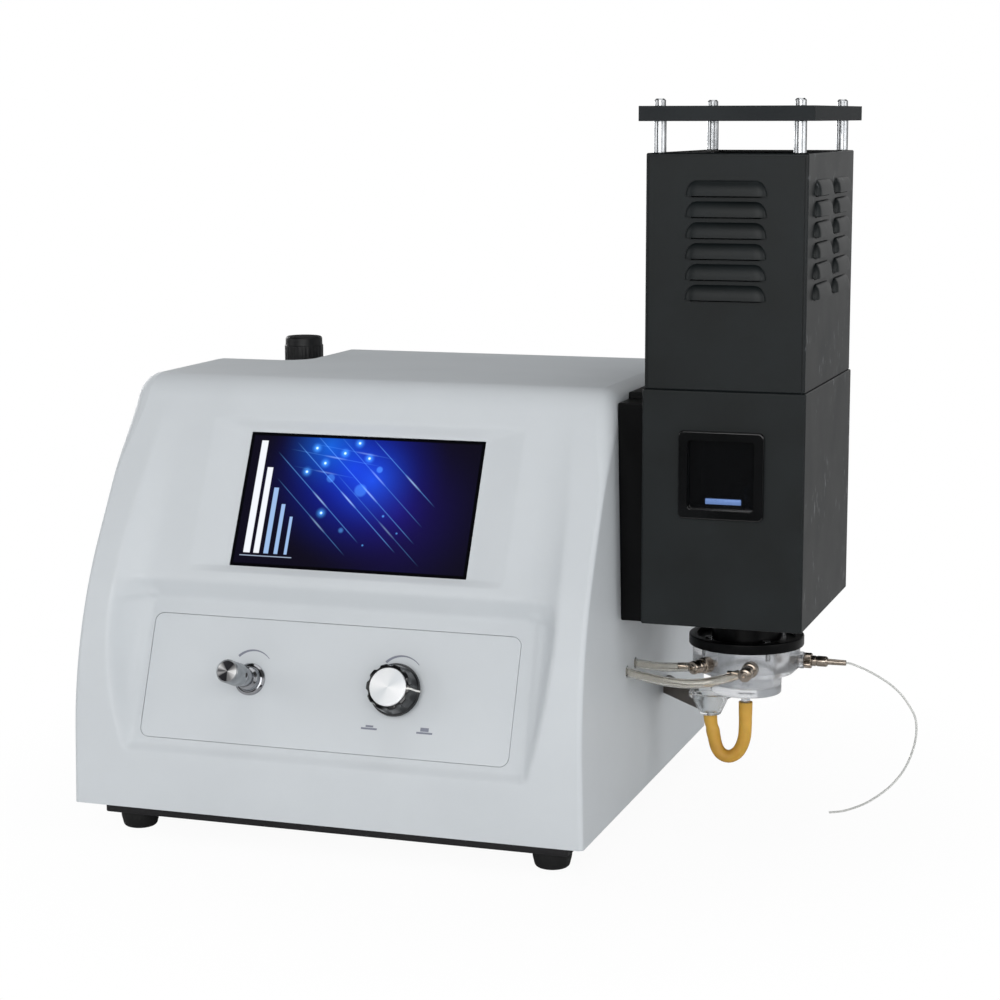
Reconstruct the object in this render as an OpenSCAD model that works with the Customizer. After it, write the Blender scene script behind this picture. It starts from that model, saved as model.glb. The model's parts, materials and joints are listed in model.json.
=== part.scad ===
// Bench flame photometer: moulded housing, burner tower, mixing chamber,
// gas controls, optics and rear fittings. Every piece is its own module.
// Drawn from the housing's left front bottom corner: X right, Y back, Z up from
// the bench. centred() then moves the whole to the middle of its footprint.

/* [Housing] */
// Width of the housing at its base
housing_w = 350; // [330:1:380]
// Depth of the housing, front edge to back wall
housing_d = 325; // [315:1:345]
// Height of the housing's top above the bench
housing_top = 292; // [288:1:300]
// Narrowing of each side from base to top
side_draft = 6; // [3:0.5:8]
// Wall thickness of the moulding
wall = 3; // [2.5:0.25:3.5]
// Height at which the upright front starts to sweep back
sweep_start_z = 65; // [62:1:70]
// Radius of the front's sweep
sweep_r = 242; // [230:1:250]
// Lean of the upper front, degrees from upright
front_lean = 31; // [29:0.5:33]
// Radius of the front top edge
top_front_r = 25; // [18:1:30]
// Radius of the back top edge
top_back_r = 30; // [20:1:34]
// Radius of the side top edges
top_side_r = 12; // [8:1:16]
// Width of the in-turned bottom flange
flange_w = 38; // [36:1:44]

/* [Front recess] */
// Height of the recess's sill
sill_z = 57; // [54:1:60]
// Least width of each cheek
cheek_w = 20; // [17:0.5:23]
// Height where the cheeks are narrowest
waist_z = 165; // [160:1:172]
// Radius of each cheek's edge below the waist
cheek_low_r = 347; // [330:1:380]
// Radius of each cheek's edge above the waist
cheek_high_r = 800; // [700:10:900]
// Lean of the control panel, degrees from upright
control_lean = 21; // [19:0.5:23]
// Depth of the control panel's foot behind the sill
sill_depth = 3; // [2.5:0.5:4]
// Height of the ledge's lower edge
ledge_low_z = 151; // [148:1:154]
// Height of the ledge's upper edge
ledge_top_z = 165; // [160:1:168]
// Depth of the display panel behind the cheeks at the ledge
display_depth = 10.5; // [9:0.5:12]
// Lean of the display panel, degrees from upright
display_lean = 26.2; // [25:0.2:27]
// Height of the recess's top edge
recess_top_z = 285; // [282:1:287]
// Distance of the control pocket's sides from the housing's sides
pocket_side = 37; // [36:0.5:40]
// Width of the soft band beside the display panel
band_w = 22; // [18:1:24]

/* [Display] */
// Width of the screen glass
glass_w = 163.5; // [155:0.5:170]
// Height of the screen glass, up the slope
glass_h = 92; // [86:0.5:96]
// Thickness of the screen glass
glass_t = 1.8; // [1:0.1:2]
// Left edge of the screen glass
glass_x = 96.5; // [94:0.5:100]
// Lower edge of the screen glass, up the slope from the ledge
glass_v = 12.8; // [11:0.2:15]
// Depth of the flared pocket around the glass
pocket_depth = 4.5; // [3.5:0.5:5.5]
// Depth of the display module
module_depth = 9; // [6:0.5:14]

/* [Control panel] */
// Width of the control panel plate
plate_w = 253.5; // [245:0.5:258]
// Height of the control panel plate, up the slope
plate_h = 82; // [78:0.5:84]
// Thickness of the control panel plate
plate_t = 1.5; // [1:0.1:2]
// Left edge of the plate
plate_x = 46; // [44:0.5:50]
// Lower edge of the plate, up the slope from the sill
plate_v = 8; // [7:0.2:9]
// Corner radius of the plate
plate_r = 6; // [4:0.5:9]

/* [Fine valve] */
// Fine knob's place across the front
fine_x = 119; // [110:1:130]
// Height of both knobs up the slope from the sill
knob_v = 50.3; // [46:0.5:54]
// Diameter of the fine knob
fine_knob_d = 15; // [13:0.5:18]
// Length of the fine knob
fine_knob_l = 18; // [15:0.5:24]
// Clear length of bushing between panel and knob
fine_reach = 20; // [16:0.5:24]
// Diameter of the chrome flange
fine_flange_d = 21; // [19:0.5:26]
// Diameter of the valve spindles
spindle_d = 6; // [5:0.5:7]

/* [Gas valve] */
// Gas knob's place across the front
gas_x = 221; // [210:1:232]
// Diameter of the gas knob's skirt
skirt_d = 34.5; // [32:0.5:38]
// Diameter over the gas knob's lobes
lobe_d = 31; // [29:0.5:32]
// Number of lobes
lobes = 10; // [8:1:12]
// Height of the gas knob above its skirt's underside
gas_knob_h = 14; // [13:0.5:18]
// Diameter of the aluminium cap
cap_disc_d = 24.4; // [22:0.2:26]
// Thickness of the aluminium cap
cap_disc_t = 1.4; // [1:0.1:2]
// Push travel of the gas knob
push_travel = 4; // [3:0.5:4.5]

/* [Base] */
// Height of the bench side of the base plate's skirt
foot_h = 11; // [9:0.5:13]
// Depth of the base plate's skirt
skirt_h = 6; // [5:0.5:8]
// Thickness of the base plate's steel
base_t = 1.6; // [1.2:0.1:2]
// Base plate's inset at the left side
base_left = 20; // [18:1:22]
// Base plate's inset at the right side
base_right = 11; // [10:1:14]
// Base plate's inset at front and back
base_front = 10; // [8:1:12]
// Diameter of a foot at its top
foot_top_d = 25; // [22:0.5:26]
// Diameter of a foot at the bench
foot_low_d = 16.5; // [14:0.5:20]

/* [Burner tower] */
// Gap between housing side at its base and flame box
tower_gap = 14; // [12:0.5:18]
// Width of the flame box
box_w = 103.8; // [98:0.2:110]
// Depth of the flame box
box_d = 157.8; // [150:0.2:166]
// Front of the flame box behind the housing's front edge
box_y = 81.4; // [78:0.2:86]
// Underside of the flame box above the bench
box_z = 144.8; // [140:0.2:150]
// Height of the flame box
box_h = 150.3; // [146:0.1:156]
// Height of the chimney shell
chimney_h = 146.5; // [140:0.5:152]
// Inset of the chimney shell from the flame box
chimney_inset = 1; // [0.5:0.1:1.5]
// Thickness of the tower's sheet steel
sheet = 1.2; // [1:0.1:1.5]
// Overhang of the cap beyond the flame box
cap_over = 3; // [2:0.2:4]
// Depth of the cap's folded rim
cap_h = 9.3; // [8:0.1:11]
// Air gap between chimney and cap
cap_gap = 19.4; // [16:0.2:24]
// Diameter of the bright spacers
spacer_d = 8; // [7:0.5:9]
// Spacers' distance in from the chimney's sides
spacer_in = 8; // [7.5:0.1:9]

/* [Louvres] */
// Length of one louvre
louvre_l = 51; // [46:0.5:54]
// Height of one louvre
louvre_h = 9.5; // [8:0.1:10.5]
// How far a louvre stands out
louvre_out = 3.5; // [3:0.1:4]
// Louvre spacing
louvre_pitch = 12.8; // [12:0.1:13.5]
// Louvres in a column
louvre_rows = 6; // [5:1:7]
// Opening edge of the lowest louvre above the chimney's foot
louvre_low = 56.5; // [50:0.5:60]

/* [Window] */
// Width of the window frame
window_w = 54.6; // [50:0.2:58]
// Height of the window frame
window_h = 55.9; // [52:0.1:60]
// Window frame's underside above the flame box's underside
window_up = 69.6; // [66:0.2:74]
// Width of the window frame's border
window_rim = 6; // [5:0.5:8]
// How far the window frame stands out
window_out = 3; // [2:0.5:4]

/* [Burner and mixing chamber] */
// Burner axis in from the flame box's left side
burner_in = 52; // [50:0.5:54]
// Burner axis back from the flame box's front
burner_back = 78.6; // [76:0.2:82]
// Diameter of the burner flange
flange_d = 76; // [74:0.5:80]
// Thickness of the burner flange
flange_t = 6.8; // [6:0.2:8]
// Diameter of the mixing chamber
chamber_d = 71; // [68:0.5:73]
// Height of the mixing chamber
chamber_h = 18; // [17:0.5:20]
// Diameter of the chamber base
chamber_base_d = 47; // [44:0.5:50]
// Height of the chamber base
chamber_base_h = 14.4; // [12:0.2:16]
// Bore of the mixing chamber
chamber_bore = 38; // [34:1:40]
// Height of the flange's neck up to the flame box
neck_h = 19; // [17:0.5:21]
// Top of the burner head above the flame box's underside
burner_up = 82; // [78:0.5:86]
// Diameter of the burner head
head_d = 23; // [20:0.5:26]
// Diameter of the burner tube
burner_tube_d = 16; // [14:0.5:18]

/* [Fluid side] */
// Outer diameter of the clear hoses
hose_d = 6.2; // [5.5:0.1:7]
// Bore of the clear hoses
hose_bore = 4; // [3.6:0.1:4.4]
// Outer diameter of the latex tube
latex_d = 9; // [8:0.5:10]
// Bore of the latex tube
latex_bore = 6; // [5:0.5:6.5]
// Bend radius of the latex loop
loop_r = 12; // [10:0.5:14]
// Length of the latex loop's leg under the chamber
loop_leg = 26; // [22:0.5:30]
// Outer diameter of the sample capillary
capillary_d = 1.4; // [1.2:0.1:1.8]
// Diameter over the drain cup's rim
cup_d = 29; // [26:0.5:31]

/* [Regulator] */
// Regulator axis from the housing's left side
reg_x = 53.5; // [50:0.5:56]
// Regulator axis from the housing's front edge
reg_y = 272; // [266:1:276]
// Diameter of the regulator knob
reg_knob_d = 28.5; // [26:0.5:30]
// Top of the regulator knob above the housing's top
reg_knob_up = 11.5; // [9:0.5:14]
// Height of the regulator knob
reg_knob_h = 27; // [24:0.5:30]
// Width of the corner notch
notch_w = 82; // [80:1:88]
// Front of the corner notch from the housing's back
notch_d = 118; // [112:1:122]
// Height of the corner notch's floor
notch_z = 135; // [130:1:142]

/* [Optics] */
// Height of the optical axis above the burner head
axis_up = 23; // [20:0.5:26]
// Outer diameter of the lens tube
lens_tube_d = 40; // [36:0.5:42]
// Length of the lens tube
lens_tube_l = 96; // [90:1:110]

/* [Hidden] */
$fn = 48;

// Fits: a fixed seat, a turning or sliding shaft, an assembly gap
seat_gap = 0.05;
run_gap = 0.05;
gap = 0.3;
// Cutters pass this far through what they cut
past = 1;

// Finish colours
shell_grey = "#C8CED1";
tower_black = "#2A2D2F";
deep_black = "#141618";
rubber_black = "#1E1B20";
nickel = "#8C8278";
chrome = "#B9BBBE";
bright = "#C9CBCE";
clear_plastic = "#CDCFD4";
hose_tint = "#D7D4C8";
latex = "#B28737";
brass = "#B5964B";
board_green = "#2F6B45";
white_plastic = "#ECECE8";

// ---- Housing outline
base_z = foot_h + skirt_h;
side_angle = atan(side_draft / (housing_top - base_z));
sweep_top_y = sweep_r * (1 - cos(front_lean));
sweep_top_z = sweep_start_z + sweep_r * sin(front_lean);
top_arc_z = housing_top - top_front_r;
top_arc_run = (top_arc_z - sweep_top_z + top_front_r * sin(front_lean)) / cos(front_lean);
top_arc_y = sweep_top_y + top_front_r * cos(front_lean) + top_arc_run * sin(front_lean);
lean_end_z = top_arc_z + top_front_r * sin(front_lean);

// Points of an arc in a plane, from one angle to another in n steps
function arc(cx, cy, r, a0, a1, n) =
    [for (i = [0:n]) [cx + r * cos(a0 + (a1 - a0) * i / n), cy + r * sin(a0 + (a1 - a0) * i / n)]];
function mix(a, b, t) = a + (b - a) * t;
function flip_x(points) = [for (i = [len(points) - 1:-1:0]) [housing_w - points[i][0], points[i][1]]];

// The housing's side at a height, and its front surface at a height
function side_x(z) = (z - base_z) * tan(side_angle);
function front_y(z) =
    z <= sweep_start_z ? 0
    : z < sweep_top_z ? sweep_r - sqrt(pow(sweep_r, 2) - pow(z - sweep_start_z, 2))
    : z < lean_end_z ? sweep_top_y + (z - sweep_top_z) * tan(front_lean)
    : top_arc_y - sqrt(pow(top_front_r, 2) - pow(z - top_arc_z, 2));

// Outlines of the housing, drawn in by a depth: from the side and from the front
function side_profile(depth, low) = concat(
    [[depth, low]],
    arc(sweep_r, sweep_start_z, sweep_r - depth, 180, 180 - front_lean, 10),
    arc(top_arc_y, top_arc_z, top_front_r - depth, 180 - front_lean, 90, 6),
    arc(housing_d - top_back_r, housing_top - top_back_r, top_back_r - depth, 90, 0, 6),
    [[housing_d - depth, low]]);
side_arc_z = housing_top - top_side_r;
side_arc_x = side_x(side_arc_z) + top_side_r / cos(side_angle);
function front_half(depth, low) = concat(
    [[side_x(low) + depth / cos(side_angle), low]],
    arc(side_arc_x, side_arc_z, top_side_r - depth, 180 - side_angle, 90, 6));
function front_outline(depth, low) = concat(front_half(depth, low), flip_x(front_half(depth, low)));

// ---- Front recess
control_y = sill_depth;
display_y = front_y(ledge_top_z) + display_depth;
ledge_low_y = control_y + (ledge_low_z - sill_z) * tan(control_lean);
function panel_y(z) =
    z <= ledge_low_z ? control_y + (z - sill_z) * tan(control_lean)
    : z >= ledge_top_z ? display_y + (z - ledge_top_z) * tan(display_lean)
    : mix(ledge_low_y, display_y, (z - ledge_low_z) / (ledge_top_z - ledge_low_z));
recess_corner_r = 14;
function cheek_edge(z) =
    side_x(z) + cheek_w
    + pow(z - waist_z, 2) / (2 * (z < waist_z ? cheek_low_r : cheek_high_r))
    + (z > recess_top_z - recess_corner_r
        ? recess_corner_r - sqrt(max(0, pow(recess_corner_r, 2)
            - pow(z - recess_top_z + recess_corner_r, 2))) : 0);
function band_end(z) =
    z <= ledge_low_z ? max(side_x(z) + pocket_side, cheek_edge(z) + 1.5) : cheek_edge(z) + band_w;
// Depth of the recess in front of its panels fades out over the last stretch
fade = 9;
function recess_depth(z) =
    (panel_y(z) - front_y(z)) * (z > recess_top_z - fade ? (recess_top_z - z) / fade : 1);
pocket_lip = 3;
cut_skin = 0.2;
recess_rows = concat(
    [sill_z, sill_z + sill_depth],
    [for (i = [1:4]) mix(sill_z + sill_depth, ledge_low_z, i / 4)],
    [ledge_top_z],
    [for (i = [1:5]) mix(ledge_top_z, recess_top_z - fade, i / 5)],
    [recess_top_z - fade / 2, recess_top_z]);
// One row of the recess: from cheek edge over the soft band to the panel
function row_depth(z) = z == sill_z ? 0 : max(0, recess_depth(z));
function row_lip(z) = z > sill_z && z <= ledge_low_z ? min(pocket_lip, row_depth(z) * 0.4) : 0;
function half_row(z) = concat(
    [for (i = [0:3]) let (t = i / 3)
        [mix(cheek_edge(z), band_end(z), t),
         front_y(z) - cut_skin + (row_depth(z) - row_lip(z)) * (1 - pow(1 - t, 2)), z]],
    [[band_end(z) + 2, front_y(z) - cut_skin + row_depth(z), z]]);
function full_row(z) = concat(half_row(z),
    [for (i = [4:-1:0]) [housing_w - half_row(z)[i][0], half_row(z)[i][1], z]]);
recess_cols = 10;
recess_front = -20;
recess_points = concat(
    [for (z = recess_rows) for (p = full_row(z)) p],
    [for (z = recess_rows) for (p = full_row(z)) [p[0], recess_front, p[2]]]);
function quad(a, b, c, d) = [[a, b, c], [a, c, d]];
function grid_faces(rows, cols, start, outward) = [
    for (r = [0:rows - 2]) for (c = [0:cols - 2])
        let (a = start + r * cols + c, b = a + 1, d = a + cols, e = d + 1)
        each (outward ? quad(a, d, e, b) : quad(a, b, e, d))];
// Walls between two like grids of n points each
function side_faces(rows, cols) = let (n = rows * cols, last = n - cols) concat(
    [for (c = [0:cols - 2]) each quad(c, n + c, n + c + 1, c + 1)],
    [for (c = [last:n - 2]) each quad(c + 1, n + c + 1, n + c, c)],
    [for (a = [0:cols:last - cols]) each quad(a, a + cols, n + a + cols, n + a)],
    [for (a = [cols - 1:cols:last - 1]) each quad(a + cols, a, n + a, n + a + cols)]);
module recess_cut() {
    rows = len(recess_rows);
    polyhedron(recess_points, concat(
        grid_faces(rows, recess_cols, 0, false),
        grid_faces(rows, recess_cols, rows * recess_cols, true),
        side_faces(rows, recess_cols)));
}

// ---- Local frames: along the slope of each panel, outward is +Z
module on_control() {
    translate([0, control_y, sill_z]) rotate([90 - control_lean, 0, 0]) children();
}
module on_display() {
    translate([0, display_y, ledge_top_z]) rotate([90 - display_lean, 0, 0]) children();
}
module at_fine() { on_control() translate([fine_x, knob_v, 0]) children(); }
module at_gas() { on_control() translate([gas_x, knob_v, 0]) children(); }

// ---- Tower places
box_x = housing_w + tower_gap;
box_top = box_z + box_h;
chimney_top = box_top + chimney_h;
cap_low = chimney_top + cap_gap;
burner_x = box_x + burner_in;
burner_y = box_y + burner_back;
flange_z = box_z - neck_h - flange_t;
chamber_z = flange_z - chamber_h;
chamber_base_z = chamber_z - chamber_base_h;
port_z = chamber_z + chamber_h / 2;
burner_top = box_z + burner_up;
axis_z = burner_top + axis_up;
spacer_xs = [box_x + spacer_in, box_x + box_w - spacer_in];
spacer_ys = [box_y + spacer_in, box_y + box_d - spacer_in];
module at_burner(z) { translate([burner_x, burner_y, z]) children(); }

// ---- Nebulizer
neb_seal_x = burner_x + chamber_d / 2;
neb_seal_l = 3.5;
neb_nut_l = 5;
neb_body_l = 10.5;
neb_tip_l = 12.1;
neb_tip_x = neb_seal_x + neb_seal_l + neb_nut_l + neb_body_l + neb_tip_l;
neb_stem_d = 5;

// Chamfer round the fine knob's face
fine_knob_edge = 0.8;
// ---- The middle of the footprint, which is the part's origin
fine_tip_y = control_y + knob_v * sin(control_lean) - (fine_reach + fine_knob_l) * cos(control_lean)
    - (fine_knob_d / 2 - fine_knob_edge) * sin(control_lean);
panel_back_t = 1.6;
gas_barb_l = 18;
rear_reach = housing_d + panel_back_t + 5 + gas_barb_l;
centre_x = neb_tip_x / 2;
centre_y = (fine_tip_y + rear_reach) / 2;
module centred() { translate([-centre_x, -centre_y, 0]) children(); }

// A box with rounded upright edges
module rounded_box(size, r) {
    linear_extrude(size[2]) rounded_rect([size[0], size[1]], r);
}
module rounded_rect(size, r) {
    translate([r, 0]) square([size[0] - 2 * r, size[1]]);
    translate([0, r]) square([size[0], size[1] - 2 * r]);
    for (x = [r, size[0] - r]) for (y = [r, size[1] - r]) translate([x, y]) circle(r);
}
module along_x() { rotate([0, 90, 0]) children(); }
module along_y() { rotate([-90, 0, 0]) children(); }

// ==== Base
screw_d = 4;
screw_head_d = 7.6;
screw_head_h = 2.6;
screw_l = 8.3;
boss_h = 12;
foot_xs = [base_left + 19, housing_w - base_right - 14];
foot_ys = [base_front + 8, housing_d - base_front - 14];
foot_sink = 5;
tray_rim = 26;
floor_z = foot_h + base_t;
base_screw_xs = [base_left + 9, housing_w - base_right - 18];
base_screw_ys = [62, housing_d / 2, housing_d - 62];

module base_plate() {
    w = housing_w - base_left - base_right;
    d = housing_d - 2 * base_front;
    color(rubber_black) centred() difference() {
        translate([base_left, base_front, foot_h]) cube([w, d, skirt_h]);
        translate([base_left + base_t, base_front + base_t, floor_z])
            cube([w - 2 * base_t, d - 2 * base_t, skirt_h - 2 * base_t]);
        translate([base_left + tray_rim, base_front + tray_rim, floor_z])
            cube([w - 2 * tray_rim, d - 2 * tray_rim, skirt_h + past]);
        for (x = foot_xs) for (y = foot_ys) translate([x, y, 0])
            cylinder(d = screw_d + 2 * seat_gap, h = floor_z + past);
        // Rim holes, with a way for the screw heads through the floor
        for (x = base_screw_xs) for (y = base_screw_ys) translate([x, y, 0]) {
            cylinder(d = screw_d + 2 * seat_gap, h = base_z + past);
            cylinder(d = screw_head_d + 2, h = floor_z + past);
        }
        // Cooling slots
        for (i = [0:7]) translate([110 + i * 16, 110, 0]) cube([5, 60, floor_z + past]);
    }
}

module feet() {
    color(rubber_black) centred() for (x = foot_xs) for (y = foot_ys) translate([x, y, 0])
        difference() {
            rotate_extrude() polygon(concat(
                [[0, 0], [foot_low_d / 2 - 1.5, 0]],
                arc(foot_low_d / 2 - 1.5, 1.5, 1.5, -90, -10, 4),
                [[foot_top_d / 2 - 0.5, foot_h - 3], [foot_top_d / 2, foot_h - 2],
                 [foot_top_d / 2, foot_h], [0, foot_h]]));
            translate([0, 0, -past]) cylinder(d = screw_head_d + 2 * gap,
                h = foot_sink + screw_head_h + past);
            cylinder(d = screw_d + 2 * seat_gap, h = foot_h + past);
        }
}

// Pan-head machine screw, head's seat at z = 0, shank up
module pan_screw(shank) {
    difference() {
        translate([0, 0, -screw_head_h]) cylinder(d = screw_head_d, h = screw_head_h);
        translate([-3.5, -0.5, -screw_head_h - past]) cube([7, 1, past + 1]);
    }
    cylinder(d = screw_d, h = shank);
}

rear_x = 95;
rear_w = 227;
rear_z = 28;
rear_h = 222;
rear_screw_xs = [rear_x + 7, rear_x + rear_w / 2, rear_x + rear_w - 7];
rear_screw_zs = [rear_z + 6, rear_z + rear_h - 6];
foot_shank = floor_z + 1.2 - foot_sink - screw_head_h;
module case_screws() {
    color(bright) centred() {
        for (x = foot_xs) for (y = foot_ys) translate([x, y, foot_sink + screw_head_h])
            pan_screw(foot_shank);
        for (x = base_screw_xs) for (y = base_screw_ys) translate([x, y, base_z - base_t])
            pan_screw(screw_l);
        for (x = rear_screw_xs) for (z = rear_screw_zs)
            translate([x, housing_d + panel_back_t, z]) rotate([90, 0, 0]) pan_screw(screw_l);
    }
}

// ==== Housing
module outer_solid(depth, low) {
    intersection() {
        rotate([90, 0, 90]) linear_extrude(housing_w) polygon(side_profile(depth, low));
        translate([0, housing_d, 0]) rotate([90, 0, 0]) linear_extrude(housing_d)
            polygon(front_outline(depth, low));
    }
}
// The inside must stay clear of the recess by a wall
module recess_shadow() {
    back = wall / cos(display_lean);
    translate([-past, 0, 0]) rotate([90, 0, 90]) linear_extrude(housing_w + 2 * past)
        polygon([[recess_front, sill_z - wall], [control_y + back, sill_z - wall],
            [ledge_low_y + back, ledge_low_z], [display_y + back, ledge_top_z],
            [panel_y(recess_top_z) + back, recess_top_z],
            [panel_y(recess_top_z) - wall, recess_top_z + wall],
            [recess_front, recess_top_z + wall]]);
}
notch_y = housing_d - notch_d;
notch_r = 22;
module notch(grow) {
    translate([-past - 5, notch_y - grow, notch_z - grow])
        linear_extrude(housing_top - notch_z + grow + past) difference() {
            square([notch_w + grow + past + 5, notch_d + grow + past]);
            translate([notch_w + grow + past + 5 - notch_r, 0]) difference() {
                translate([0, -past]) square([notch_r + past, notch_r + past]);
                translate([0, notch_r]) circle(notch_r);
            }
        }
}
// Extra thickness behind the display pocket and the control panel
pad_side = 34;
display_pad_t = pocket_depth + glass_t + 1.5;
module display_pad() {
    intersection() {
        on_display() translate([glass_x - pad_side, 2, -display_pad_t])
            cube([glass_w + 2 * pad_side, glass_v + glass_h + 16, display_pad_t]);
        outer_solid(1, base_z);
    }
}
module control_pad() {
    on_control() translate([plate_x - 4, plate_v - 3, -wall - plate_t])
        cube([plate_w + 8, plate_h + 6, wall + plate_t]);
}
hose_holes = [[130, 107], [109, 106]];
hose_hole_d = hose_d + 2;
duct_hole_d = lens_tube_d + 8;
module housing() {
    flare = 4;
    flare_side = 27;
    window = 3;
    color(shell_grey) centred() difference() {
        union() {
            difference() {
                outer_solid(0, base_z);
                difference() {
                    outer_solid(wall, base_z + wall);
                    recess_shadow();
                    notch(wall);
                    // Bosses for the screws from below
                    for (x = base_screw_xs) for (y = base_screw_ys) translate([x, y, 0])
                        cylinder(d = 11, h = base_z + boss_h);
                }
            }
            display_pad();
            control_pad();
        }
        recess_cut();
        notch(0);
        // Open underside within the flange
        translate([flange_w, flange_w, 0])
            cube([housing_w - 2 * flange_w, housing_d - 2 * flange_w, base_z + wall + past]);
        for (x = base_screw_xs) for (y = base_screw_ys) translate([x, y, 0])
            cylinder(d = screw_d + 2 * seat_gap, h = base_z + boss_h - 2);
        // Flared pocket and aperture for the screen
        on_display() {
            hull() {
                translate([glass_x - window, glass_v - window / 2, -pocket_depth])
                    cube([glass_w + 2 * window, glass_h + window, 0.01]);
                translate([glass_x - flare_side, glass_v - flare, 0])
                    cube([glass_w + 2 * flare_side, glass_h + 3 * flare, 2]);
            }
            translate([glass_x - gap, glass_v - gap, -20])
                cube([glass_w + 2 * gap, glass_h + 2 * gap, 20]);
        }
        // Shallow seat for the control panel plate, and the valve holes
        on_control() translate([plate_x - gap, plate_v - gap, -plate_t])
            rounded_box([plate_w + 2 * gap, plate_h + 2 * gap, 20], plate_r + gap);
        at_fine() translate([0, 0, -20]) cylinder(d = neck_d + 2 * gap, h = 30);
        at_gas() translate([0, 0, -20]) cylinder(d = neck_d + 2 * gap, h = 30);
        // Right side: hoses and the light path
        for (h = hose_holes) translate([housing_w - 20, h[0], h[1]])
            along_x() cylinder(d = hose_hole_d, h = 30);
        translate([housing_w - 30, burner_y, axis_z]) along_x()
            cylinder(d = duct_hole_d, h = 40);
        // Notch wall: air line into the housing
        translate([reg_x, notch_y - 20, reg_port_z]) along_y() cylinder(d = air_line_d, h = 30);
        // Back: opening behind the rear panel
        translate([rear_x + 14, housing_d - 20, rear_z + 12])
            cube([rear_w - 28, 30, rear_h - 24]);
        for (x = rear_screw_xs) for (z = rear_screw_zs) translate([x, housing_d - 20, z])
            along_y() cylinder(d = screw_d + 2 * seat_gap, h = 30);
    }
}

// ==== Rear panel with inlets
inlet_x = 262;
inlet_z = 48;
inlet_w = 28;
inlet_h = 48;
inlet_depth = 26;
gas_in_x = 150;
gas_in_z = 70;
gas_thread_d = 12;
module rear_panel() {
    color(tower_black) centred() difference() {
        translate([rear_x, housing_d, rear_z]) cube([rear_w, panel_back_t, rear_h]);
        for (x = rear_screw_xs) for (z = rear_screw_zs) translate([x, housing_d - past, z])
            along_y() cylinder(d = screw_d + 2 * seat_gap, h = 5);
        translate([inlet_x - seat_gap, housing_d - past, inlet_z - seat_gap])
            cube([inlet_w + 2 * seat_gap, 5, inlet_h + 2 * seat_gap]);
        translate([gas_in_x, housing_d - past, gas_in_z]) along_y()
            cylinder(d = gas_thread_d + 2 * seat_gap, h = 5);
        // Vent slots in two columns
        for (i = [0:9]) for (x = [rear_x + 30, rear_x + 120])
            translate([x, housing_d - past, 130 + i * 10]) cube([76, 5, 4]);
    }
}

// Socket below, rocker above, one moulded body held by its flange
socket_w = 24;
socket_h = 17;
rocker_w = 13;
rocker_h = 20;
rocker_tilt = 7;
rocker_pocket = 13;
rocker_z = inlet_z + 35;
rocker_y = housing_d + panel_back_t - 2;
pivot_d = 2.5;
module power_inlet() {
    flange_edge = 3;
    flange_depth = 3;
    y0 = housing_d + panel_back_t;
    color(deep_black) centred() {
        difference() {
            union() {
                translate([inlet_x, y0 - inlet_depth, inlet_z])
                    cube([inlet_w, inlet_depth, inlet_h]);
                translate([inlet_x - flange_edge, y0, inlet_z - flange_edge])
                    cube([inlet_w + 2 * flange_edge, flange_depth, inlet_h + 2 * flange_edge]);
            }
            // Socket well with two clipped lower corners
            translate([inlet_x + inlet_w / 2, y0 - 16, inlet_z + 3]) rotate([-90, 0, 0])
                linear_extrude(30) polygon([[-socket_w / 2, 0], [socket_w / 2, 0],
                    [socket_w / 2, -socket_h + 4], [socket_w / 2 - 4, -socket_h],
                    [-socket_w / 2 + 4, -socket_h], [-socket_w / 2, -socket_h + 4]]);
            // Rocker pocket and its pivot holes
            translate([inlet_x + (inlet_w - rocker_w) / 2 - gap, y0 - rocker_pocket,
                rocker_z - rocker_h / 2 - gap - 0.4])
                cube([rocker_w + 2 * gap, 30, rocker_h + 2 * gap + 0.8]);
            translate([inlet_x + (inlet_w - rocker_w) / 2 - 2, rocker_y, rocker_z]) along_x()
                cylinder(d = pivot_d, h = rocker_w + 4);
        }
        // Three blades in the socket
        for (p = [[0, 7], [-7, 11], [7, 11]])
            translate([inlet_x + inlet_w / 2 + p[0] - 1, y0 - 16, inlet_z + p[1] - 2])
                cube([2, 12, 4]);
    }
}

module power_rocker() {
    crown = 2;
    depth = 9;
    color("#303236") centred() translate([inlet_x + inlet_w / 2, rocker_y, rocker_z])
        rotate([rocker_tilt, 0, 0]) {
            // Two faces that meet in a shallow valley at the pivot
            translate([-rocker_w / 2, 0, 0]) rotate([90, 0, 90]) linear_extrude(rocker_w)
                polygon([[-depth + 3, -rocker_h / 2 + 3], [crown + 2, -rocker_h / 2],
                    [crown + 1, 0], [crown + 2, rocker_h / 2], [-depth + 3, rocker_h / 2 - 3]]);
            translate([-rocker_w / 2 - 1.5, 0, 0]) along_x()
                cylinder(d = pivot_d - 2 * run_gap, h = rocker_w + 3);
        }
}

// Hose barb: three cones on a bored stem, mouth at z = length
module barb(d, length, bore) {
    step = length / 3;
    difference() {
        union() for (i = [0:2]) translate([0, 0, i * step])
            cylinder(d1 = d, d2 = d - 1.6, h = step);
        translate([0, 0, -past]) cylinder(d = bore, h = length + 2 * past);
    }
}
module gas_inlet() {
    color(brass) centred() translate([gas_in_x, housing_d + panel_back_t, gas_in_z]) along_y() {
        difference() {
            union() {
                cylinder(d = 19.6, h = 5, $fn = 6);
                translate([0, 0, -14]) cylinder(d = gas_thread_d, h = 15);
            }
            translate([0, 0, -15]) cylinder(d = 5, h = 30);
        }
        translate([0, 0, 5]) barb(9.6, gas_barb_l, 5);
    }
}

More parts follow.
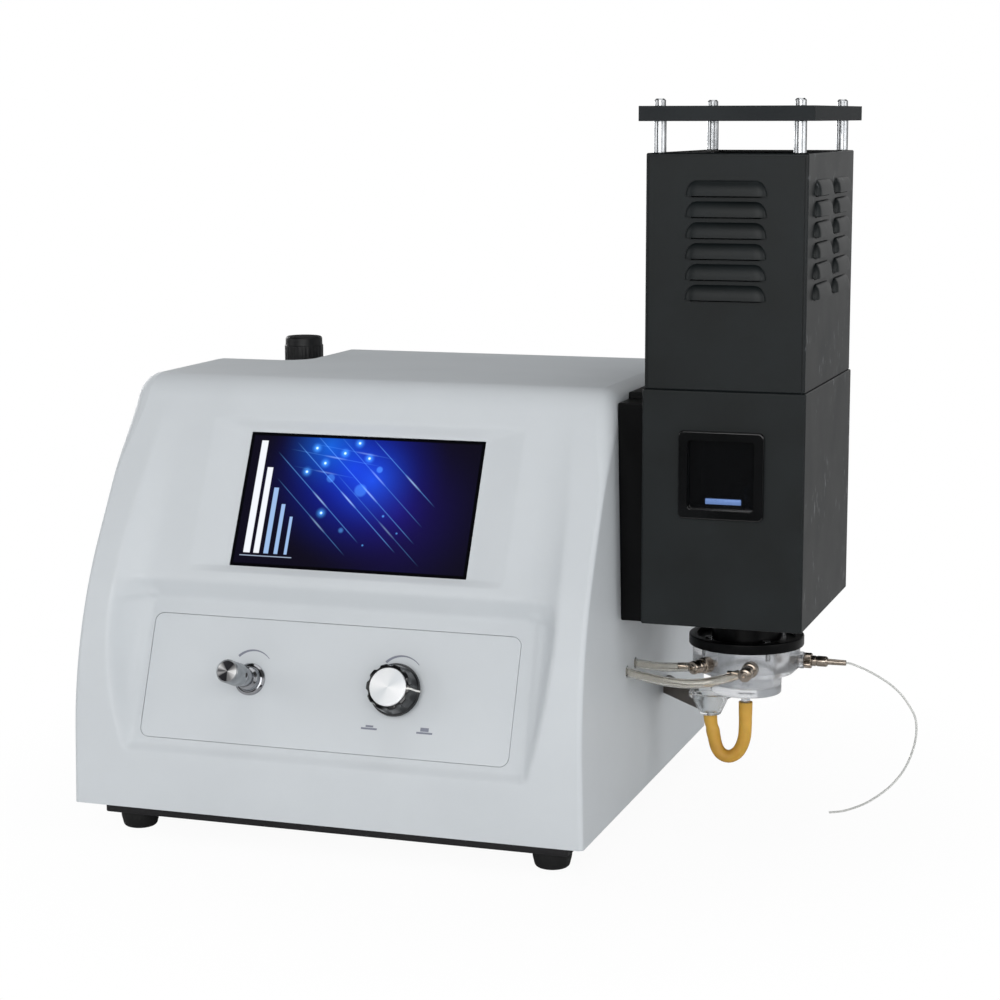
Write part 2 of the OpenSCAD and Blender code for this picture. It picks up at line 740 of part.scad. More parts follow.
// ==== Screen
module screen_glass() {
    color("#14143A") centred() on_display()
        translate([glass_x, glass_v, -pocket_depth - glass_t]) cube([glass_w, glass_h, glass_t]);
}
module display_module() {
    edge = 6;
    color("#3A3D42") centred() on_display() {
        translate([glass_x - edge, glass_v - edge, -display_pad_t - module_depth])
            cube([glass_w + 2 * edge, glass_h + 2 * edge, module_depth]);
        // Raised cell that carries the glass in the aperture
        translate([glass_x, glass_v, -display_pad_t])
            cube([glass_w, glass_h, display_pad_t - pocket_depth - glass_t]);
    }
}

// ==== Control panel plate
neck_d = 12;
module control_panel() {
    color(shell_grey) centred() on_control() difference() {
        translate([plate_x, plate_v, -plate_t]) rounded_box([plate_w, plate_h, plate_t], plate_r);
        for (x = [fine_x, gas_x]) translate([x, knob_v, -plate_t - past])
            cylinder(d = neck_d + 2 * gap, h = plate_t + 2 * past);
    }
}

// ==== Fine valve
wall_back = -wall - plate_t;
module fine_valve_bushing() {
    color(chrome) centred() at_fine() difference() {
        union() {
            rotate_extrude() polygon([[0, 0], [fine_flange_d / 2, 0], [fine_flange_d / 2, 1.2],
                [fine_flange_d / 2 - 1.5, 2.4], [8, 2.6], [7.4, 6], [5.6, 7.2], [5.6, 9.5],
                [6.4, 10], [6.4, fine_reach - 2], [5.6, fine_reach - 1.2],
                [5.6, fine_reach - gap], [0, fine_reach - gap]]);
            translate([0, 0, wall_back - 10]) cylinder(d = neck_d, h = 10 - wall_back);
        }
        translate([0, 0, -40]) cylinder(d = spindle_d + 2 * run_gap, h = 80);
    }
}
valve_d = 26;
fine_body_l = 32;
module side_barbs(z, reach) {
    for (s = [-1, 1]) translate([s * (valve_d / 2 - 1), 0, z]) rotate([0, s * 90, 0])
        cylinder(d = 6, h = reach);
}
module fine_valve_body() {
    color(brass) centred() at_fine() difference() {
        union() {
            translate([0, 0, wall_back - fine_body_l]) cylinder(d = valve_d, h = fine_body_l, $fn = 6);
            side_barbs(wall_back - fine_body_l + 8, 13);
        }
        translate([0, 0, wall_back - 10]) cylinder(d = neck_d + 2 * seat_gap, h = 20);
        translate([0, 0, wall_back - fine_body_l + 12])
            cylinder(d = spindle_d + 2 * run_gap, h = fine_body_l);
    }
}
fine_stem_low = wall_back - fine_body_l + 13;
fine_stem_top = fine_reach + fine_knob_l - 4;
module fine_valve_stem() {
    color(brass) centred() at_fine() translate([0, 0, fine_stem_low])
        cylinder(d = spindle_d, h = fine_stem_top - fine_stem_low);
}
set_screw_d = 3;
set_screw_z = 3.4;
module fine_knob() {
    cone = 1;
    color(chrome) centred() at_fine() translate([0, 0, fine_reach]) difference() {
        rotate_extrude() polygon([[0, 0], [fine_knob_d / 2 - 0.6, 0], [fine_knob_d / 2, 0.6],
            [fine_knob_d / 2, fine_knob_l - fine_knob_edge],
            [fine_knob_d / 2 - fine_knob_edge, fine_knob_l],
            [0, fine_knob_l - cone]]);
        translate([0, 0, -past]) cylinder(d = spindle_d + 2 * seat_gap,
            h = fine_knob_l - 4 + gap + past);
        translate([0, 0, set_screw_z]) along_x()
            cylinder(d = set_screw_d + 2 * seat_gap, h = fine_knob_d);
    }
}
module fine_knob_screw() {
    color("#3A3A3C") centred() at_fine() translate([spindle_d / 2, 0, fine_reach + set_screw_z])
        along_x() difference() {
            cylinder(d = set_screw_d, h = fine_knob_d / 2 - spindle_d / 2 - 1);
            translate([0, 0, fine_knob_d / 2 - spindle_d / 2 - 2.5]) cylinder(d = 1.7, h = 5, $fn = 6);
        }
}

// ==== Gas valve: the plunger slides, the stem turns in it
gas_lift = push_travel + 0.8;
gas_body_l = 30;
plunger_d = 12;
plunger_l = 8;
gas_nut_t = 3;
plunger_z = wall_back - gas_body_l + 4;
module gas_valve_body() {
    color(brass) centred() at_gas() difference() {
        union() {
            translate([0, 0, wall_back - gas_body_l]) cylinder(d = valve_d, h = gas_body_l, $fn = 6);
            translate([0, 0, wall_back - past]) cylinder(d = neck_d, h = gas_lift - 0.8 - wall_back);
            // Nut that clamps the neck on the plate
            cylinder(d = 16, h = gas_nut_t, $fn = 6);
            side_barbs(wall_back - 12, 13);
            // Two lugs behind carry the switch
            for (s = [-1, 1]) translate([s * 11 - 1, -6, wall_back - gas_body_l - 16])
                cube([2, 12, 17]);
        }
        translate([0, 0, -60]) cylinder(d = spindle_d + 2 * run_gap, h = 80);
        translate([0, 0, wall_back - gas_body_l - past])
            cylinder(d = plunger_d + 2 * run_gap, h = gas_body_l - 6);
    }
}
module gas_plunger() {
    color(bright) centred() at_gas() translate([0, 0, plunger_z]) difference() {
        union() {
            cylinder(d = plunger_d, h = plunger_l);
            // Tail that works the switch
            translate([0, 0, -6]) cylinder(d = 4, h = 7);
        }
        translate([0, 0, 2]) cylinder(d = spindle_d + 2 * run_gap, h = plunger_l);
    }
}
gas_stem_low = plunger_z + 2.1;
gas_stem_top = gas_lift + gas_knob_h - 3;
module gas_valve_stem() {
    color(brass) centred() at_gas() translate([0, 0, gas_stem_low])
        cylinder(d = spindle_d, h = gas_stem_top - gas_stem_low);
}
module gas_knob() {
    skirt_t = 2.2;
    hollow_d = 18.5;
    hollow_h = gas_nut_t + 2.5;
    groove = 1.1;
    color(deep_black) centred() at_gas() translate([0, 0, gas_lift]) difference() {
        union() {
            cylinder(d1 = skirt_d, d2 = skirt_d - 1.6, h = skirt_t);
            difference() {
                translate([0, 0, skirt_t]) cylinder(d1 = lobe_d + 1, d2 = lobe_d - 1,
                    h = gas_knob_h - skirt_t);
                // Flutes between the lobes
                for (i = [0:lobes - 1]) rotate(360 / lobes * (i + 0.5))
                    translate([lobe_d / 2 + 2.4, 0, skirt_t]) cylinder(r = 3.6, h = gas_knob_h);
            }
        }
        // Cap's seat, room for the nut, stem's bore, pointer groove
        translate([0, 0, gas_knob_h - cap_disc_t + 0.4]) cylinder(d = cap_disc_d + 2 * seat_gap,
            h = cap_disc_t);
        translate([0, 0, -past]) cylinder(d = hollow_d, h = hollow_h + past);
        cylinder(d = spindle_d + 2 * seat_gap, h = gas_knob_h - 3 + gap);
        translate([cap_disc_d / 2 + 0.4, -groove / 2, gas_knob_h - 0.6]) cube([5, groove, 2]);
    }
}
module gas_knob_cap() {
    color(bright) centred() at_gas() translate([0, 0, gas_lift + gas_knob_h - cap_disc_t + 0.4])
        rotate_extrude() polygon([[0, 0], [cap_disc_d / 2, 0], [cap_disc_d / 2, cap_disc_t - 0.4],
            [cap_disc_d / 2 - 0.4, cap_disc_t], [0, cap_disc_t - 0.3]]);
}
switch_z = plunger_z - 6 - push_travel - gap;
module ignition_switch() {
    color("#3C3F46") centred() at_gas() {
        translate([-10 + seat_gap, -5, switch_z - 11]) cube([20 - 2 * seat_gap, 10, 10]);
        translate([-2, -1.5, switch_z - 1.5]) cube([4, 3, 1.5]);
    }
}

// ==== Electrics, set out from the inner edges of the base plate's rim
tray_right = housing_w - base_right - tray_rim;
tray_left = base_left + tray_rim;
tray_front = base_front + tray_rim;
tray_back = housing_d - base_front - tray_rim;
ignition_size = [44, 60, 26];
ignition_place = [tray_right - 7 - ignition_size[0], tray_front + 8, floor_z];
board = [120, 96, 1.6];
board_place = [tray_right - 13 - board[0], ignition_place[1] + ignition_size[1] + 26, floor_z];
supply_size = [98, 110, 36];
supply_place = [tray_left + 14, tray_back - 9 - supply_size[1], floor_z];
module ignition_module() {
    color("#33363B") centred() translate(ignition_place) {
        cube(ignition_size);
        translate([ignition_size[0] / 2, ignition_size[1] - 15, ignition_size[2]])
            cylinder(d = 10, h = 8);
    }
}
module main_board() {
    standoff = 8;
    color(board_green) centred() translate(board_place) {
        for (x = [5, board[0] - 5]) for (y = [5, board[1] - 5]) translate([x, y, 0])
            cylinder(d = 6, h = standoff + 0.1);
        translate([0, 0, standoff]) cube(board);
        translate([45, 35, standoff + 1.5]) cube([22, 22, 2.5]);
        translate([80, 40, standoff + 1.5]) cube([12, 18, 2.5]);
        for (i = [0:3]) translate([16 + i * 12, 80, standoff + 1.5]) cylinder(d = 8, h = 12);
        translate([8, 4, standoff + 1.5]) cube([60, 7, 9]);
    }
}
module power_supply() {
    side = 4;
    sheet_t = 1.5;
    color("#A9ADB0") centred() translate(supply_place) difference() {
        cube(supply_size);
        translate([side, sheet_t, sheet_t])
            cube([supply_size[0] - 2 * side, supply_size[1] - 2 * sheet_t, supply_size[2]]);
        for (i = [0:6]) translate([12 + i * 12, -past, 12])
            cube([5, supply_size[1] + 2 * past, 14]);
    }
}

// ==== Regulator in the corner notch
reg_knob_top = housing_top + reg_knob_up;
reg_knob_z = reg_knob_top - reg_knob_h;
bonnet_d = 33;
bonnet_h = 30;
reg_body_h = 30;
reg_body_w = 42;
reg_body_z = reg_knob_z - gap - bonnet_h - reg_body_h;
reg_port_z = reg_body_z + reg_body_h / 2;
air_line_d = 9;
bowl_d = 34;
bowl_h = 60;
reg_stem_d = 9;
module at_reg(z) { translate([reg_x, reg_y, z]) children(); }
module regulator_body() {
    color("#8F969B") centred() {
        difference() {
            at_reg(reg_body_z) translate([-reg_body_w / 2, -reg_body_w / 2, 0])
                rounded_box([reg_body_w, reg_body_w, reg_body_h], 4);
            at_reg(reg_body_z - past) cylinder(d = bowl_d - 5, h = 9);
            translate([reg_x, reg_y, reg_port_z]) along_y() cylinder(d = 11, h = 40);
        }
        // Outlet line through the notch wall into the housing
        translate([reg_x, notch_y - 12, reg_port_z]) along_y()
            cylinder(d = air_line_d - 2 * gap, h = reg_y - reg_body_w / 2 - notch_y + 12.5);
    }
}
module regulator_bonnet() {
    color(deep_black) centred() at_reg(reg_body_z + reg_body_h) {
        rotate_extrude() polygon([[0, 0], [bonnet_d / 2, 0], [bonnet_d / 2, bonnet_h - 8],
            [bonnet_d / 2 - 4, bonnet_h], [0, bonnet_h]]);
        cylinder(d = reg_stem_d, h = bonnet_h + gap + reg_knob_h - 6);
    }
}
module regulator_knob() {
    rib_count = 24;
    lower_h = reg_knob_h * 0.66;
    r = reg_knob_d / 2;
    edge = 3;
    color(deep_black) centred() at_reg(reg_knob_z) difference() {
        rotate_extrude() polygon(concat(
            [[0, 0], [r, 0], [r, lower_h - 0.6], [r - 0.9, lower_h]],
            arc(r - 0.9 - edge, reg_knob_h - edge, edge, 0, 90, 5),
            [[0, reg_knob_h]]));
        translate([0, 0, -past]) cylinder(d = reg_stem_d + 2 * run_gap, h = reg_knob_h - 5 + past);
        for (i = [0:rib_count - 1]) rotate(360 / rib_count * i)
            translate([r + 0.5, 0, -past]) cylinder(r = 1, h = lower_h - 1.5 + past, $fn = 16);
    }
}
module filter_bowl() {
    r = bowl_d / 2;
    w = 2;
    color(clear_plastic) centred() at_reg(reg_body_z - bowl_h) difference() {
        rotate_extrude() polygon([[2, -8], [4, -8], [4, 0], [r - 6, 0], [r, 8], [r, bowl_h],
            [r - w, bowl_h], [r - w, 8.6], [r - 6.6, w], [2, w]]);
    }
}
bracket_t = 2;
bracket_z = reg_body_z - bracket_t;
module regulator_bracket() {
    // Shelf under the body, ear on the notch wall, hole for the bowl
    shelf_w = 40;
    ear_w = notch_w - notch_r - reg_x + shelf_w / 2 - 0.5;
    shelf_end = reg_y + reg_body_w / 2;
    color("#55595E") centred() translate([reg_x - shelf_w / 2, 0, bracket_z]) difference() {
        union() {
            translate([0, notch_y, 0]) cube([ear_w, shelf_end - notch_y, bracket_t]);
            translate([0, notch_y + notch_r, 0])
                cube([shelf_w, shelf_end - notch_y - notch_r, bracket_t]);
            translate([0, notch_y, -26]) cube([ear_w, bracket_t, 27]);
        }
        translate([shelf_w / 2, reg_y, -past]) cylinder(d = bowl_d + 2 * gap, h = 10);
    }
}
module air_inlet() {
    color(brass) centred() translate([reg_x, reg_y + reg_body_w / 2, reg_port_z]) along_y() {
        difference() {
            union() {
                cylinder(d = 16, h = 4, $fn = 6);
                translate([0, 0, -9]) cylinder(d = 11 - 2 * seat_gap, h = 10);
            }
            translate([0, 0, -12]) cylinder(d = 5, h = 30);
        }
        translate([0, 0, 4]) barb(9.6, gas_barb_l, 5);
    }
}

// ==== Between housing and tower
post_y = 95;
post_d = 27;
post_z = 143;
post_top = 284;
duct_d = 108;
duct_low = 150;
duct_top = 291;
duct_bore = lens_tube_d + 2 * seat_gap;
// A block whose left face follows the housing's drafted side
module side_block(y, depth, low, high, clip) {
    left = housing_w + seat_gap;
    translate([0, y + depth, 0]) rotate([90, 0, 0]) linear_extrude(depth)
        polygon([[left - side_x(low), low], [box_x, low], [box_x, high - clip],
            [box_x - clip, high], [left - side_x(high), high]]);
}
module mount_post() {
    color(deep_black) centred() side_block(post_y, post_d, post_z, post_top, 4);
}
module optics_duct() {
    color(deep_black) centred() difference() {
        side_block(post_y + post_d, duct_d, duct_low, min(duct_top, side_arc_z + 8), 2);
        translate([housing_w - 30, burner_y, axis_z]) along_x()
            cylinder(d = duct_bore, h = 60);
    }
}

// ==== Tower
window_x = box_x + 24;
window_z = box_z + window_up;
burner_hole_d = 30;
rim_in = 10;
module flame_box() {
    color(tower_black) centred() difference() {
        translate([box_x, box_y, box_z]) cube([box_w, box_d, box_h]);
        translate([box_x + sheet, box_y + sheet, box_z + sheet])
            cube([box_w - 2 * sheet, box_d - 2 * sheet, box_h - 2 * sheet]);
        // Open top within the in-turned rim, and the holes
        translate([box_x + rim_in, box_y + rim_in, box_top - 5])
            cube([box_w - 2 * rim_in, box_d - 2 * rim_in, 10]);
        at_burner(box_z - past) cylinder(d = burner_hole_d, h = 5);
        translate([window_x + window_rim, box_y - past, window_z + window_rim])
            cube([window_w - 2 * window_rim, 5, window_h - 2 * window_rim]);
        translate([box_x - past, burner_y, axis_z]) along_x() cylinder(d = lens_tube_d - 4, h = 5);
        at_burner(box_z - past) translate([igniter_off, igniter_off, 0])
            cylinder(d = igniter_d + 2 * seat_gap, h = 5);
    }
}

// One pressed louvre on the plane y = 0, standing out towards -Y, open below
louvre_r = (pow(louvre_out, 2) + pow(louvre_h, 2)) / (2 * louvre_out);
module louvre_half(out, high) {
    r = (pow(out, 2) + pow(high, 2)) / (2 * out);
    top = asin(high / r);
    polygon(concat([[0, 0]], arc(out - r, 0, r, 0, top, 3)));
}
module louvre_straight(out, high, length) {
    translate([-length / 2, 0, 0]) rotate([0, 0, -90]) rotate([90, 0, 0])
        mirror([0, 0, 1]) linear_extrude(length) louvre_half(out, high);
}
module louvre_hood() {
    straight = louvre_l - 2 * louvre_out;
    louvre_straight(louvre_out, louvre_h, straight);
    for (s = [-1, 1]) translate([s * straight / 2, 0, 0]) rotate_extrude($fn = 24)
        louvre_half(louvre_out, louvre_h);
}
module louvre_hollow() {
    straight = louvre_l - 2 * louvre_out;
    louvre_straight(louvre_out - 1, louvre_h - 1, straight);
    // Slot through the sheet
    translate([-straight / 2, -0.01, 0]) cube([straight, sheet + past, louvre_h - 3]);
}
module louvre_column() {
    for (i = [0:louvre_rows - 1]) translate([0, 0, louvre_low + i * louvre_pitch]) children();
}
chimney_x = box_x + chimney_inset;
chimney_y = box_y + chimney_inset;
chimney_w = box_w - 2 * chimney_inset;
chimney_d = box_d - 2 * chimney_inset;
// Every louvre column: front, back and two on the right side
side_column = 32.5;
module on_chimney_faces() {
    translate([chimney_x + chimney_w / 2, chimney_y, box_top]) children();
    translate([chimney_x + chimney_w / 2, chimney_y + chimney_d, box_top])
        rotate(180) children();
    for (s = [-1, 1])
        translate([chimney_x + chimney_w, chimney_y + chimney_d / 2 + s * side_column, box_top])
            rotate(90) children();
}
module chimney_shell() {
    top_rim = 16;
    color(tower_black) centred() difference() {
        union() {
            translate([chimney_x, chimney_y, box_top]) cube([chimney_w, chimney_d, chimney_h]);
            on_chimney_faces() louvre_column() louvre_hood();
        }
        translate([chimney_x + sheet, chimney_y + sheet, box_top + sheet])
            cube([chimney_w - 2 * sheet, chimney_d - 2 * sheet, chimney_h - 2 * sheet]);
        on_chimney_faces() louvre_column() louvre_hollow();
        translate([box_x + rim_in, box_y + rim_in, box_top - past])
            cube([box_w - 2 * rim_in, box_d - 2 * rim_in, 5]);
        translate([box_x + top_rim, box_y + top_rim, chimney_top - 5])
            cube([box_w - 2 * top_rim, box_d - 2 * top_rim, 10]);
        for (x = spacer_xs) for (y = spacer_ys) translate([x, y, chimney_top - 5])
            cylinder(d = screw_d + 2 * seat_gap, h = 10);
    }
}
module chimney_cap() {
    w = box_w + 2 * cap_over;
    d = box_d + 2 * cap_over;
    color(tower_black) centred() difference() {
        translate([box_x - cap_over, box_y - cap_over, cap_low]) cube([w, d, cap_h]);
        translate([box_x - cap_over + sheet, box_y - cap_over + sheet, cap_low - past])
            cube([w - 2 * sheet, d - 2 * sheet, cap_h - sheet + past]);
        for (x = spacer_xs) for (y = spacer_ys) translate([x, y, cap_low])
            cylinder(d = screw_d + 2 * seat_gap, h = 20);
    }
}
spacer_l = cap_gap + cap_h - sheet;
module cap_spacers() {
    stud = 7;
    color(bright) centred() for (x = spacer_xs) for (y = spacer_ys) translate([x, y, chimney_top])
        difference() {
            union() {
                cylinder(d = spacer_d, h = spacer_l);
                translate([0, 0, -stud]) cylinder(d = screw_d, h = stud + past);
            }
            translate([0, 0, spacer_l - 12]) cylinder(d = screw_d + 2 * seat_gap, h = 20);
        }
}
module cap_screws() {
    head_d = 7;
    head_h = 4.5;
    color(bright) centred() for (x = spacer_xs) for (y = spacer_ys)
        translate([x, y, cap_low + cap_h]) difference() {
            union() {
                rotate_extrude() polygon([[0, 0], [head_d / 2, 0], [head_d / 2, head_h - 1],
                    [head_d / 2 - 1, head_h], [0, head_h]]);
                translate([0, 0, -10]) cylinder(d = screw_d, h = 11);
            }
            rotate(35) translate([-5, -0.6, head_h - 1.6]) cube([10, 1.2, 5]);
        }
}

module window_frame() {
    color(deep_black) centred() translate([window_x, box_y, window_z]) difference() {
        rotate([90, 0, 0]) rounded_box([window_w, window_h, window_out], 3.5);
        translate([window_rim, 5, window_rim]) rotate([90, 0, 0])
            rounded_box([window_w - 2 * window_rim, window_h - 2 * window_rim, 20], 2);
    }
}
module window_glass() {
    color("#23252A") centred() translate([window_x + 3, box_y + sheet, window_z + 3])
        cube([window_w - 6, 2, window_h - 6]);
}

// ==== Burner
igniter_d = 5;
igniter_off = 19;
flange_screw_r = chamber_d / 2 - 4;
module burner_flange() {
    rim = 5;
    hollow = 3;
    color(deep_black) centred() at_burner(flange_z) difference() {
        union() {
            cylinder(d = flange_d, h = flange_t);
            cylinder(d = 46, h = flange_t + neck_h);
        }
        // Recessed top between rim and neck
        translate([0, 0, flange_t - hollow]) difference() {
            cylinder(d = flange_d - 2 * rim, h = hollow + past);
            cylinder(d = 46, h = hollow + 2 * past);
        }
        translate([0, 0, -past]) cylinder(d = burner_tube_d + 2 * seat_gap, h = 50);
        for (i = [0:3]) rotate(40 + 90 * i) translate([flange_screw_r - 4, 0, -past])
            cylinder(d = 3 + 2 * seat_gap, h = 20);
    }
}
module flange_screws() {
    color(bright) centred() at_burner(flange_z + flange_t - 3) for (i = [0:3])
        rotate(40 + 90 * i) translate([flange_screw_r - 4, 0, 0]) difference() {
            union() {
                cylinder(d = 5.5, h = 3);
                translate([0, 0, -10]) cylinder(d = 3, h = 10.5);
            }
            translate([-4, -0.4, 2]) cube([8, 0.8, 4]);
        }
}
head_h = 22;
module burner_tube() {
    color(bright) centred() at_burner(flange_z) difference() {
        cylinder(d = burner_tube_d, h = burner_top - head_h + 10 - flange_z);
        translate([0, 0, -past]) cylinder(d = burner_tube_d - 3, h = 200);
    }
}
module burner_head() {
    color(bright) centred() at_burner(burner_top - head_h) difference() {
        rotate_extrude() polygon([[0, 0], [head_d / 2 - 2, 0], [head_d / 2, 3],
            [head_d / 2, head_h - 1], [head_d / 2 - 1, head_h], [0, head_h]]);
        translate([0, 0, -past]) cylinder(d = burner_tube_d + 2 * seat_gap, h = 11);
        cylinder(d = burner_tube_d - 3, h = head_h - 4);
        translate([0, 0, head_h - 5]) {
            cylinder(d = 1.4, h = 10, $fn = 16);
            for (ring = [[3.2, 6], [6.4, 12]]) for (i = [0:ring[1] - 1]) rotate(360 / ring[1] * i)
                translate([ring[0], 0, 0]) cylinder(d = 1.4, h = 10, $fn = 16);
        }
    }
}
module igniter_electrode() {
    tip = burner_top - box_z + 4;
    wire_d = 1.6;
    color(white_plastic) centred() at_burner(box_z) translate([igniter_off, igniter_off, 0]) {
        translate([0, 0, -6]) cylinder(d = igniter_d, h = tip);
        translate([0, 0, tip - 7]) cylinder(d = wire_d, h = 9);
        // Thinner end that points at the burner
        translate([0, 0, tip]) rotate(225) along_x() cylinder(d = wire_d - 0.3, h = 13);
    }
}

// ==== Mixing chamber
port_d = 5;
port_angles = [240, 270];
port_shift = [0, 11];
port_wall = [35.4, 34.9];
collar_l = 7;
eye_reach = [5.5, 10];
eye_r = 4.5;
function eye_distance(i) = port_wall[i] + gap + collar_l + eye_reach[i];
function eye_at(i) = [burner_x + port_shift[i] + eye_distance(i) * cos(port_angles[i]),
    burner_y + eye_distance(i) * sin(port_angles[i]), port_z];
module at_port(i) {
    translate([burner_x + port_shift[i], burner_y, port_z]) rotate(port_angles[i]) children();
}
module mixing_chamber() {
    chamfer = 4;
    color(clear_plastic) centred() difference() {
        at_burner(chamber_z) rotate_extrude() polygon([[0, 0], [chamber_d / 2 - chamfer, 0],
            [chamber_d / 2, chamfer], [chamber_d / 2, chamber_h], [0, chamber_h]]);
        at_burner(chamber_z - past) cylinder(d = chamber_bore, h = chamber_h + 2 * past);
        for (i = [0, 1]) at_port(i) translate([10, 0, 0]) along_x()
            cylinder(d = port_d + 2 * seat_gap, h = 40);
        translate([burner_x + 10, burner_y, port_z]) along_x()
            cylinder(d = neb_stem_d + 2 * seat_gap, h = 40);
        at_burner(chamber_z) for (i = [0:3]) rotate(40 + 90 * i)
            translate([flange_screw_r - 4, 0, chamber_h - 8]) cylinder(d = 3 + 2 * seat_gap, h = 20);
    }
}
spigot_l = 7.6;
module chamber_base() {
    well = 5;
    color(clear_plastic) centred() at_burner(chamber_base_z) difference() {
        union() {
            rotate_extrude() polygon([[0, 0], [chamber_base_d / 2 - 1, 0],
                [chamber_base_d / 2, 1], [chamber_base_d / 2, chamber_base_h],
                [0, chamber_base_h]]);
            translate([0, 0, -spigot_l - 6]) cylinder(d = latex_bore - 0.2, h = spigot_l + 7);
        }
        translate([0, 0, well]) cylinder(d = chamber_bore, h = 30);
        translate([0, 0, -20]) cylinder(d = 3.4, h = 40);
    }
}

// Port fitting: threaded stub, knurled collar, banjo eye with a side barb;
// +X points out of the chamber
fit_collar_d = 10.6;
module port_fitting(i) {
    neck_start = port_wall[i] + gap + collar_l - 0.5;
    at_port(i) {
        translate([port_wall[i] - 8, 0, 0]) along_x() cylinder(d = port_d, h = 12);
        translate([port_wall[i] + gap, 0, 0]) along_x() difference() {
            cylinder(d = fit_collar_d, h = collar_l);
            for (k = [0:17]) rotate(20 * k) translate([fit_collar_d / 2 + 0.35, 0, -past])
                cylinder(r = 0.7, h = collar_l + 2 * past, $fn = 12);
        }
        translate([neck_start, 0, 0]) along_x()
            cylinder(d = 7, h = eye_distance(i) - neck_start);
    }
    translate(eye_at(i)) {
        translate([0, 0, -eye_r]) cylinder(r = eye_r, h = 2 * eye_r);
        rotate([0, -90, 0]) cylinder(d = hose_bore - 0.5, h = 12);
    }
}
module hose_fittings() {
    color(nickel) centred() for (i = [0, 1]) port_fitting(i);
}

// ---- Routes of the flexible tubes
// A hose leaves its eye towards the housing and enters the wall square to it
hose_ends = [[housing_w - 3.5, hose_holes[0][0], hose_holes[0][1]],
    [housing_w - 3.5, hose_holes[1][0], hose_holes[1][1]]];
hose_slack = [[0, 0, -1.5], [0, -7, -7]];
function bezier(a, b, c, d, t) = a * pow(1 - t, 3) + 3 * b * pow(1 - t, 2) * t
    + 3 * c * (1 - t) * t * t + d * t * t * t;
function hose_route(i) = let (
    start = eye_at(i) - [eye_r + gap, 0, 0], end = hose_ends[i], run = start[0] - end[0])
    concat([start], [for (t = [0:0.125:1])
        bezier(start - [8, 0, 0], start - [8 + run * 0.3, 0, 0] + hose_slack[i],
            end + [run * 0.4, 0, 0] + hose_slack[i], end, t)],
    [end - [6, 0, 0]]);
// The capillary hangs from the nebulizer: round points chosen by hand
capillary_route = [[482.7, 160, 110], [485, 160, 109.9], [488, 160, 109.1],
    [493.5, 160, 107.2], [499.5, 160, 104.7],
    [505.5, 160, 101.6], [511.5, 160, 98], [517, 160, 93.6], [521, 160, 89.4], [524.4, 160, 84.6],
    [527, 160, 80.4], [528.8, 160, 76], [529.6, 160, 70], [529.4, 160, 64], [528.4, 160, 58],
    [526.4, 160, 51], [523.6, 160, 44], [519.6, 160, 37], [514.5, 160, 30.4], [509.5, 160, 25.4],
    [504, 160, 20.8], [497.4, 160, 16.2], [490.4, 160, 12.6], [482, 160, 9.4], [473.4, 160, 7.8]];
function catmull(a, b, c, d, t) =
    0.5 * ((2 * b) + (c - a) * t + (2 * a - 5 * b + 4 * c - d) * t * t
        + (3 * b - a - 3 * c + d) * t * t * t);
function smooth(route, steps) = let (n = len(route)) concat(
    [for (i = [0:n - 2]) for (k = [0:steps - 1])
        catmull(route[max(i - 1, 0)], route[i], route[i + 1], route[min(i + 2, n - 1)], k / steps)],
    [route[n - 1]]);
function unit(v) = v / norm(v);
function heading(path, i) =
    unit(path[min(i + 1, len(path) - 1)] - path[max(i - 1, 0)]);
// A ring across the path at point i
function ring(path, i, r, sides) =
    let (h = heading(path, i), up = abs(h[2]) < 0.8 ? [0, 0, 1] : [0, 1, 0],
         a = unit(cross(up, h)), b = cross(h, a))
    [for (k = [0:sides - 1]) path[i] + r * cos(360 * k / sides) * a + r * sin(360 * k / sides) * b];
module tube_along(path, d, bore, sides) {
    n = len(path);
    // Rings run out along the outside and back inside, or close at caps
    outer = [for (i = [0:n - 1]) ring(path, i, d / 2, sides)];
    inner = [for (i = [n - 1:-1:0]) ring(path, i, bore / 2, sides)];
    rings = bore > 0 ? concat(outer, inner) : outer;
    m = len(rings);
    walls = [for (r = [0:m - (bore > 0 ? 1 : 2)]) for (k = [0:sides - 1])
        let (r2 = (r + 1) % m, k2 = (k + 1) % sides,
             a = r * sides + k, b = r * sides + k2, c = r2 * sides + k2, e = r2 * sides + k)
        each [[a, c, b], [a, e, c]]];
    caps = bore > 0 ? [] : [[for (k = [0:sides - 1]) k],
        [for (k = [sides - 1:-1:0]) (m - 1) * sides + k]];
    polyhedron([for (r = rings) each r], concat(walls, caps));
}
module air_hose() {
    color(hose_tint) centred() tube_along(hose_route(0), hose_d, hose_bore, 12);
}
module gas_hose() {
    color(hose_tint) centred() tube_along(hose_route(1), hose_d, hose_bore, 12);
}
module sample_capillary() {
    color("#D8D8D4") centred() tube_along(smooth(capillary_route, 2), capillary_d, 0, 8);
}

